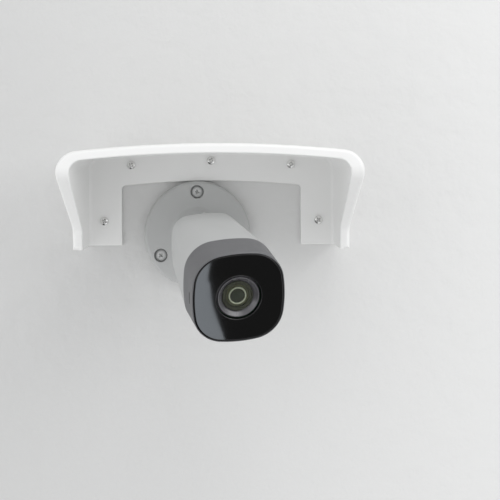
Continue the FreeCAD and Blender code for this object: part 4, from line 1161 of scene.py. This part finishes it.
class FitWindow(bpy.types.Operator):
    """Fit the polished black front panel"""

    bl_idname = "hooded_camera.fit_window"
    bl_label = "Fit the window"

    def execute(self, context):
        mesh = window_mesh(context.scene.camera_look.window_edge)
        own_piece("front_window_finished", mesh, "window_black", "front_window")
        return {"FINISHED"}


class FitOptics(bpy.types.Operator):
    """Fit the conical ring, the barrel with its ridges, the bright ring and the lenses"""

    bl_idname = "hooded_camera.fit_optics"
    bl_label = "Fit the optics"

    def execute(self, context):
        look = context.scene.lens_look
        for node, profile in LENS_PROFILES.items():
            turned_piece(node, [(radius * MM, FACE_OUT - back * MM) for radius, back in profile], LENS_EASE[node])
        head = FACE_OUT - BARREL_SETBACK
        lens_seat = head + LENS_LIFT
        domed("front_lens", 9.4 * MM, 1.9 * MM, lens_seat, 0.5 * MM - LENS_LIFT, hollow=(8.4 * MM, 1.65 * MM))
        domed("inner_lens", 4.9 * MM, 1.2 * MM, head - 1.9 * MM, 1.0 * MM, slot="inner_glass")
        domed("rear_lens", 4.1 * MM, 1.0 * MM, FACE_OUT - 14.0 * MM, 1.0 * MM, slot="inner_glass")
        groove_barrel(look, head)
        return {"FINISHED"}


# Turned parts of the lens as (radius, distance behind the face) in millimetres, and their eased corners
BARREL_SETBACK = 3.0 * MM
BARREL_STEP = 0.8 * MM
LENS_LIFT = 0.03 * MM
LENS_PROFILES = {
    "lens_shroud": ((9.6, 7.0), (9.6, 3.4), (12.3, 0.7), (12.75, 0.7), (12.95, 1.9), (13.6, 2.1), (13.6, 7.0)),
    "lens_barrel": (
        (4.2, 19.0), (4.2, 4.9), (5.6, 4.9), (5.6, 3.8), (7.3, 3.8), (7.3, 3.0), (9.5, 3.0), (9.5, 8.0),
        (6.0, 8.0), (6.0, 19.0),
    ),
    "lens_ring": ((4.95, 4.9), (4.95, 3.78), (4.55, 3.6), (4.55, 3.3), (4.8, 3.1), (5.5, 3.1), (5.5, 4.9)),
}
LENS_EASE = {"lens_shroud": 0.22 * MM, "lens_barrel": 0.16 * MM, "lens_ring": 0.24 * MM}


def domed(node, radius, rise, back, edge, hollow=None, slot=None):
    """A lens with a domed front, and a domed hollow behind if a radius and a rise are given for one."""
    profile = [(radius, back)] + cap(radius, rise, back + edge + rise)
    if hollow:
        profile += reversed(cap(hollow[0], hollow[1], back + hollow[1]))
    else:
        profile.append((0.0, back))
    turned_piece(node, profile, 0.0, slot=slot, closed=bool(hollow))


def groove_barrel(look, head):
    """The fine anti-glare ridges on the step inside the barrel's head, laid by the ridge tree."""
    mesh = bpy.data.meshes.new("barrel ridges")
    piece = linked("lens_barrel_ridges", mesh, finish_of("lens_ridges"))
    run_tree(
        piece,
        ridge_tree(),
        Radius=look.ridge_start,
        Ridge=look.ridge_height,
        Pitch=look.ridge_pitch,
        Count=look.ridge_count,
        Finish=finish_of("lens_ridges"),
    )
    piece.data.transform(CAMERA_PLACE @ Matrix.Translation((0, BARREL_STEP - head, 0)))
    mark_sharp(piece.data, RIDGE_ANGLE)
    seat(piece, slot_of("lens_barrel"), body_with("lens_barrel"))


RIDGE_ANGLE = math.radians(60)


class DressInside(bpy.types.Operator):
    """Finish the carrier plate, the boards and what is on them"""

    bl_idname = "hooded_camera.dress_inside"
    bl_label = "Dress the inside"

    def execute(self, context):
        dress(
            "chassis_plate", "led_board", "infrared_leds", "front_pillars", "sensor_board", "lens_holder",
            "image_sensor", "rear_pillars", "main_board", "board_screws", "processor", "heat_sink",
            "wire_socket",
        )
        return {"FINISHED"}


class SetStage(bpy.types.Operator):
    """Set the wall, the lamps and the camera"""

    bl_idname = "hooded_camera.set_stage"
    bl_label = "Set the stage"

    def execute(self, context):
        look = context.scene.stage_look
        build_wall(look)
        light_world(look)
        hang_lamps(look)
        hang_window_panel(look)
        hang_ring_panels(look)
        place_camera()
        return {"FINISHED"}


# Stage


def sheet_of(name, corners, material):
    """A flat stage piece from its corners."""
    mesh = bpy.data.meshes.new(name)
    mesh.from_pydata(corners, [], [tuple(range(len(corners)))])
    piece = linked(name, mesh, material)
    return piece


def build_wall(look):
    """A plain plastered wall with painted light that makes it a little brighter to the right, that can be looked
    through from behind.
    """
    material, shader = new_material("plain wall", tuple(look.wall), 0.85)
    nodes, links = material.node_tree.nodes, material.node_tree.links
    place = nodes.new("ShaderNodeTexCoord")
    split = nodes.new("ShaderNodeSeparateXYZ")
    across = nodes.new("ShaderNodeMapRange")
    drift = nodes.new("ShaderNodeMix")
    drift.data_type = "RGBA"
    # Painted light: the colour brightens from left to right across the wall
    for end, socket in zip(WALL_PAINTED_LIGHT_SPAN, ("From Min", "From Max")):
        across.inputs[socket].default_value = end
    for end, socket in zip(WALL_PAINTED_LIGHT_SPAN, ("A", "B")):
        share = 1 + look.wall_painted_light * (end - WALL_PAINTED_LIGHT_MIDDLE)
        drift.inputs[socket].default_value = (*(min(1.0, part * share) for part in look.wall), 1)
    links.new(place.outputs["Object"], split.inputs[0])
    links.new(split.outputs["X"], across.inputs["Value"])
    links.new(across.outputs["Result"], drift.inputs["Factor"])
    links.new(drift.outputs["Result"], shader.inputs["Base Color"])
    plaster = nodes.new("ShaderNodeTexNoise")
    plaster.inputs["Scale"].default_value = 55.0
    plaster.inputs["Detail"].default_value = 8.0
    links.new(place.outputs["Object"], plaster.inputs["Vector"])
    add_bump(material, shader, plaster.outputs["Fac"], 0.85, 0.002)
    facing = nodes.new("ShaderNodeNewGeometry")
    path = nodes.new("ShaderNodeLightPath")
    passed = nodes.new("ShaderNodeMath")
    passed.operation = "MAXIMUM"
    clear = nodes.new("ShaderNodeBsdfTransparent")
    choose = nodes.new("ShaderNodeMixShader")
    output = nodes["Material Output"]
    links.new(facing.outputs["Backfacing"], passed.inputs[0])
    links.new(path.outputs["Transparent Depth"], passed.inputs[1])
    links.new(passed.outputs[0], choose.inputs["Fac"])
    links.new(shader.outputs["BSDF"], choose.inputs[1])
    links.new(clear.outputs["BSDF"], choose.inputs[2])
    links.new(choose.outputs["Shader"], output.inputs["Surface"])
    reach, back = 1.5, 0.0002
    sheet_of(
        "wall",
        [(-reach, back, -reach), (reach, back, -reach), (reach, back, reach), (-reach, back, reach)],
        material,
    )


# Painted light on the wall: the span across it over which its colour brightens, and the place where it is unchanged
WALL_PAINTED_LIGHT_SPAN = (-0.17, 0.24)
WALL_PAINTED_LIGHT_MIDDLE = 0.035

# Broad soft lights as (degrees to the right of straight in front, degrees up, strength)
SOFT_LIGHTS = (
    (-55.0, -50.0, 0.82), (0.0, -50.0, 0.28), (55.0, -50.0, 0.56), (-55.0, -15.0, 0.87), (55.0, -15.0, 0.64),
    (-55.0, 20.0, 0.66), (0.0, 20.0, 0.19), (55.0, 20.0, 0.62), (-55.0, 55.0, 0.34), (0.0, 55.0, 0.36),
    (55.0, 55.0, 0.44), (-88.0, 0.0, 0.5), (180.0, 35.0, 0.80), (180.0, -35.0, 0.60),
)
SOFT_LIGHT_FOCUS = 5.0

# Lamps as (place, share of the power)
LAMPS = (((1.2, -0.8, 0.5), 0.187), ((0.3, -0.8, 1.2), 0.134))


def light_world(look):
    """Broad soft lights from all round, and a plain white background to the camera, in glass and in metal.

    The lights stand in front of the wall, so metal shows the white only in the half behind it.
    """
    world = bpy.data.worlds.new("soft studio")
    bpy.context.scene.world = world
    world.use_nodes = True
    nodes, links = world.node_tree.nodes, world.node_tree.links
    place = nodes.new("ShaderNodeTexCoord")
    total = nodes.new("ShaderNodeValue").outputs[0]
    total.default_value = 0.0
    for across, up, strength in SOFT_LIGHTS:
        across, up = math.radians(across), math.radians(up)
        facing = nodes.new("ShaderNodeVectorMath")
        facing.operation = "DOT_PRODUCT"
        facing.inputs[1].default_value = (
            math.cos(up) * math.sin(across), -math.cos(up) * math.cos(across), math.sin(up)
        )
        links.new(place.outputs["Generated"], facing.inputs[0])
        front = arithmetic(world.node_tree, "MAXIMUM", facing.outputs["Value"], 0.0)
        lobe = arithmetic(world.node_tree, "POWER", front, SOFT_LIGHT_FOCUS)
        total = arithmetic(world.node_tree, "MULTIPLY_ADD", lobe, look.soft_light * strength, total)
    path = nodes.new("ShaderNodeLightPath")
    soft, white = nodes["Background"], nodes.new("ShaderNodeBackground")
    choose = nodes.new("ShaderNodeMixShader")
    soft.inputs["Color"].default_value = (0.985, 0.992, 1.0, 1)
    links.new(total, soft.inputs["Strength"])
    white.inputs["Color"].default_value = (0.9, 0.9, 0.9, 1)
    split = nodes.new("ShaderNodeSeparateXYZ")
    links.new(place.outputs["Generated"], split.inputs[0])
    behind = arithmetic(world.node_tree, "GREATER_THAN", split.outputs["Y"], 0.0)
    in_metal = arithmetic(world.node_tree, "MULTIPLY", path.outputs["Is Glossy Ray"], behind)
    through = arithmetic(
        world.node_tree, "MAXIMUM", path.outputs["Is Camera Ray"], path.outputs["Is Transmission Ray"]
    )
    links.new(arithmetic(world.node_tree, "MAXIMUM", through, in_metal), choose.inputs["Fac"])
    links.new(soft.outputs["Background"], choose.inputs[1])
    links.new(white.outputs["Background"], choose.inputs[2])
    links.new(choose.outputs["Shader"], nodes["World Output"].inputs["Surface"])


def arithmetic(tree, operation, *values):
    """A sum or product of sockets and numbers in a node tree."""
    node = tree.nodes.new("ShaderNodeMath")
    node.operation = operation
    for socket, value in zip(node.inputs, values):
        if isinstance(value, (int, float)):
            socket.default_value = value
        else:
            tree.links.new(value, socket)
    return node.outputs[0]


def hang_lamps(look):
    """The soft lamps at the right and above, in front of the wall."""
    for i, (spot, share) in enumerate(LAMPS):
        lamp = bpy.data.lights.new(f"soft lamp {i + 1}", "AREA")
        lamp.shape = "SQUARE"
        lamp.size = look.lamp_size
        lamp.energy = look.lamp_power * share
        holder = bpy.data.objects.new(lamp.name, lamp)
        holder.location = spot
        holder.rotation_euler = (-Vector(spot)).to_track_quat("-Z", "Y").to_euler()
        holder.visible_camera = False
        bpy.context.scene.collection.objects.link(holder)


def seen_at(pixel, out):
    """The point on the plane across the camera's axis that shows at a pixel of the photograph."""
    viewer = camera_matrix()
    ray = Vector(((pixel[0] - FRAME_PX / 2), (FRAME_PX / 2 - pixel[1]), -FOCAL_PX))
    ray = viewer.to_3x3() @ ray
    eye = viewer.translation
    normal = CAMERA_PLACE.to_3x3() @ Vector((0, -1, 0))
    centre = CAMERA_PLACE @ Vector((0, -out, 0))
    return eye + ray * ((centre - eye).dot(normal) / ray.dot(normal))


def mirrored_from(pixel, distance):
    """Where the window sends the sight line through a pixel, at a distance from the window."""
    point = seen_at(pixel, FACE_OUT)
    normal = CAMERA_PLACE.to_3x3() @ Vector((0, -1, 0))
    ray = (point - camera_matrix().translation).normalized()
    return point + (ray - 2 * ray.dot(normal) * normal) * distance


PANEL_PX = (
    (160.0, 245.0), (207.6, 245.0), (207.5, 262.0), (206.3, 273.0), (206.4, 281.0), (208.5, 281.6),
    (210.7, 292.7), (212.9, 303.4), (215.7, 314.1), (219.3, 326.3), (222.4, 336.0), (225.0, 346.0), (160.0, 346.0),
)
FLAG_PX = ((190.0, 215.0), (320.0, 215.0), (320.0, 370.0), (190.0, 370.0))
PANEL_DISTANCE = 0.9
FLAG_DISTANCE = 0.94


def glowing(name, rgb, strength):
    """A material that only gives light."""
    material = bpy.data.materials.new(name)
    material.use_nodes = True
    nodes, links = material.node_tree.nodes, material.node_tree.links
    nodes.clear()
    glow = nodes.new("ShaderNodeEmission")
    glow.inputs["Color"].default_value = (*rgb, 1)
    glow.inputs["Strength"].default_value = strength
    output = nodes.new("ShaderNodeOutputMaterial")
    links.new(glow.outputs["Emission"], output.inputs["Surface"])
    return material


def for_gloss_only(sheet):
    """Hides a sheet from all but reflections."""
    sheet.visible_camera = False
    sheet.visible_diffuse = False
    sheet.visible_shadow = False
    sheet.visible_transmission = False


def hang_for_window(name, pixels, distance, material):
    """A sheet that only reflections see, where the window mirrors an outline in the photograph."""
    corners = [tuple(mirrored_from(pixel, distance)) for pixel in pixels]
    for_gloss_only(sheet_of(name, corners, material))


def hang_window_panel(look):
    """The bright panel that the black window reflects at its left, and the dark flag behind it."""
    hang_for_window("window panel", PANEL_PX, PANEL_DISTANCE, glowing("soft panel", (0.86, 0.93, 1.0), look.panel_glow))
    hang_for_window("window flag", FLAG_PX, FLAG_DISTANCE, glowing("dark flag", (0.9, 0.9, 0.85), 0.12))


def hang_ring_panels(look):
    """The bright panel overhead and the dark one below left that shape the gloss of the conical ring."""
    centre = CAMERA_PLACE @ Vector((0, -FACE_OUT, 0))
    for name, (toward, distance, half), strength in (
        ("overhead panel", OVERHEAD_PANEL, look.top_glow), ("lower left flag", LOWER_FLAG, 0.05),
    ):
        away = Vector(toward).normalized()
        across = away.cross(Vector((0, 1, 0))).normalized() * half
        over = away.cross(across)
        spot = centre + away * distance
        corners = [tuple(spot + across * a + over * b) for a, b in ((-1, -1), (1, -1), (1, 1), (-1, 1))]
        for_gloss_only(sheet_of(name, corners, glowing(name, (0.97, 0.97, 1.0), strength)))


# Sheets as (direction from the face, distance, half of an edge)
OVERHEAD_PANEL = ((0.42, -0.35, 0.84), 0.8, 0.30)
LOWER_FLAG = ((-0.62, -0.10, -0.72), 0.42, 0.32)


def camera_matrix():
    """The photograph's viewpoint: nearly square to the wall, rolled a little."""
    scale = FOCAL_PX / VIEW_DISTANCE
    x = (VANISHING_PX[0] - BASE_CENTRE_PX[0]) / scale
    z = (BASE_CENTRE_PX[1] - VANISHING_PX[1]) / scale
    yaw = -math.atan((FRAME_PX / 2 - VANISHING_PX[0]) / FOCAL_PX)
    pitch = math.atan((VANISHING_PX[1] - FRAME_PX / 2) / FOCAL_PX)
    turn = Matrix.Rotation(yaw, 4, "Z") @ Matrix.Rotation(math.pi / 2 + pitch, 4, "X")
    return Matrix.Translation((x, -VIEW_DISTANCE, z)) @ turn @ Matrix.Rotation(-PHOTO_ROLL, 4, "Z")


def place_camera():
    """The camera at the photograph's viewpoint."""
    data = bpy.data.cameras.new("photo view")
    data.sensor_width = SENSOR_WIDTH
    data.lens = FOCAL_PX / FRAME_PX * SENSOR_WIDTH
    data.clip_start, data.clip_end = 0.05, 20.0
    viewer = bpy.data.objects.new("photo view", data)
    viewer.matrix_world = camera_matrix()
    bpy.context.scene.collection.objects.link(viewer)
    bpy.context.scene.camera = viewer
    bpy.context.scene.view_settings.view_transform = "Standard"


class HoodedCameraPanel(bpy.types.Panel):
    """Sidebar panel with the sizes, the colours and the steps"""

    bl_idname = "VIEW3D_PT_hooded_camera"
    bl_label = "Hooded camera"
    bl_space_type = "VIEW_3D"
    bl_region_type = "UI"
    bl_category = "Hooded camera"

    def draw(self, context):
        for name, look in LOOKS.items():
            box = self.layout.box()
            box.label(text=name.replace("_", " ").capitalize())
            for prop in look.__annotations__:
                box.prop(getattr(context.scene, name), prop)
        for step in STEPS:
            self.layout.operator(step.bl_idname)


STEPS = (
    DressHood, FitHoodScrews, FitBaseScrews, DressMount, DressBody, FitWindow, FitOptics, DressInside, SetStage,
)


def register():
    for look in LOOKS.values():
        bpy.utils.register_class(look)
    for name, look in LOOKS.items():
        setattr(bpy.types.Scene, name, bpy.props.PointerProperty(type=look))
    for step in STEPS:
        bpy.utils.register_class(step)
    bpy.utils.register_class(HoodedCameraPanel)


def unregister():
    bpy.utils.unregister_class(HoodedCameraPanel)
    for step in reversed(STEPS):
        bpy.utils.unregister_class(step)
    for name, look in reversed(list(LOOKS.items())):
        delattr(bpy.types.Scene, name)
        bpy.utils.unregister_class(look)


def main():
    register()
    for step in STEPS:
        group, name = step.bl_idname.split(".")
        getattr(getattr(bpy.ops, group), name)()


if __name__ == "__main__":
    main()
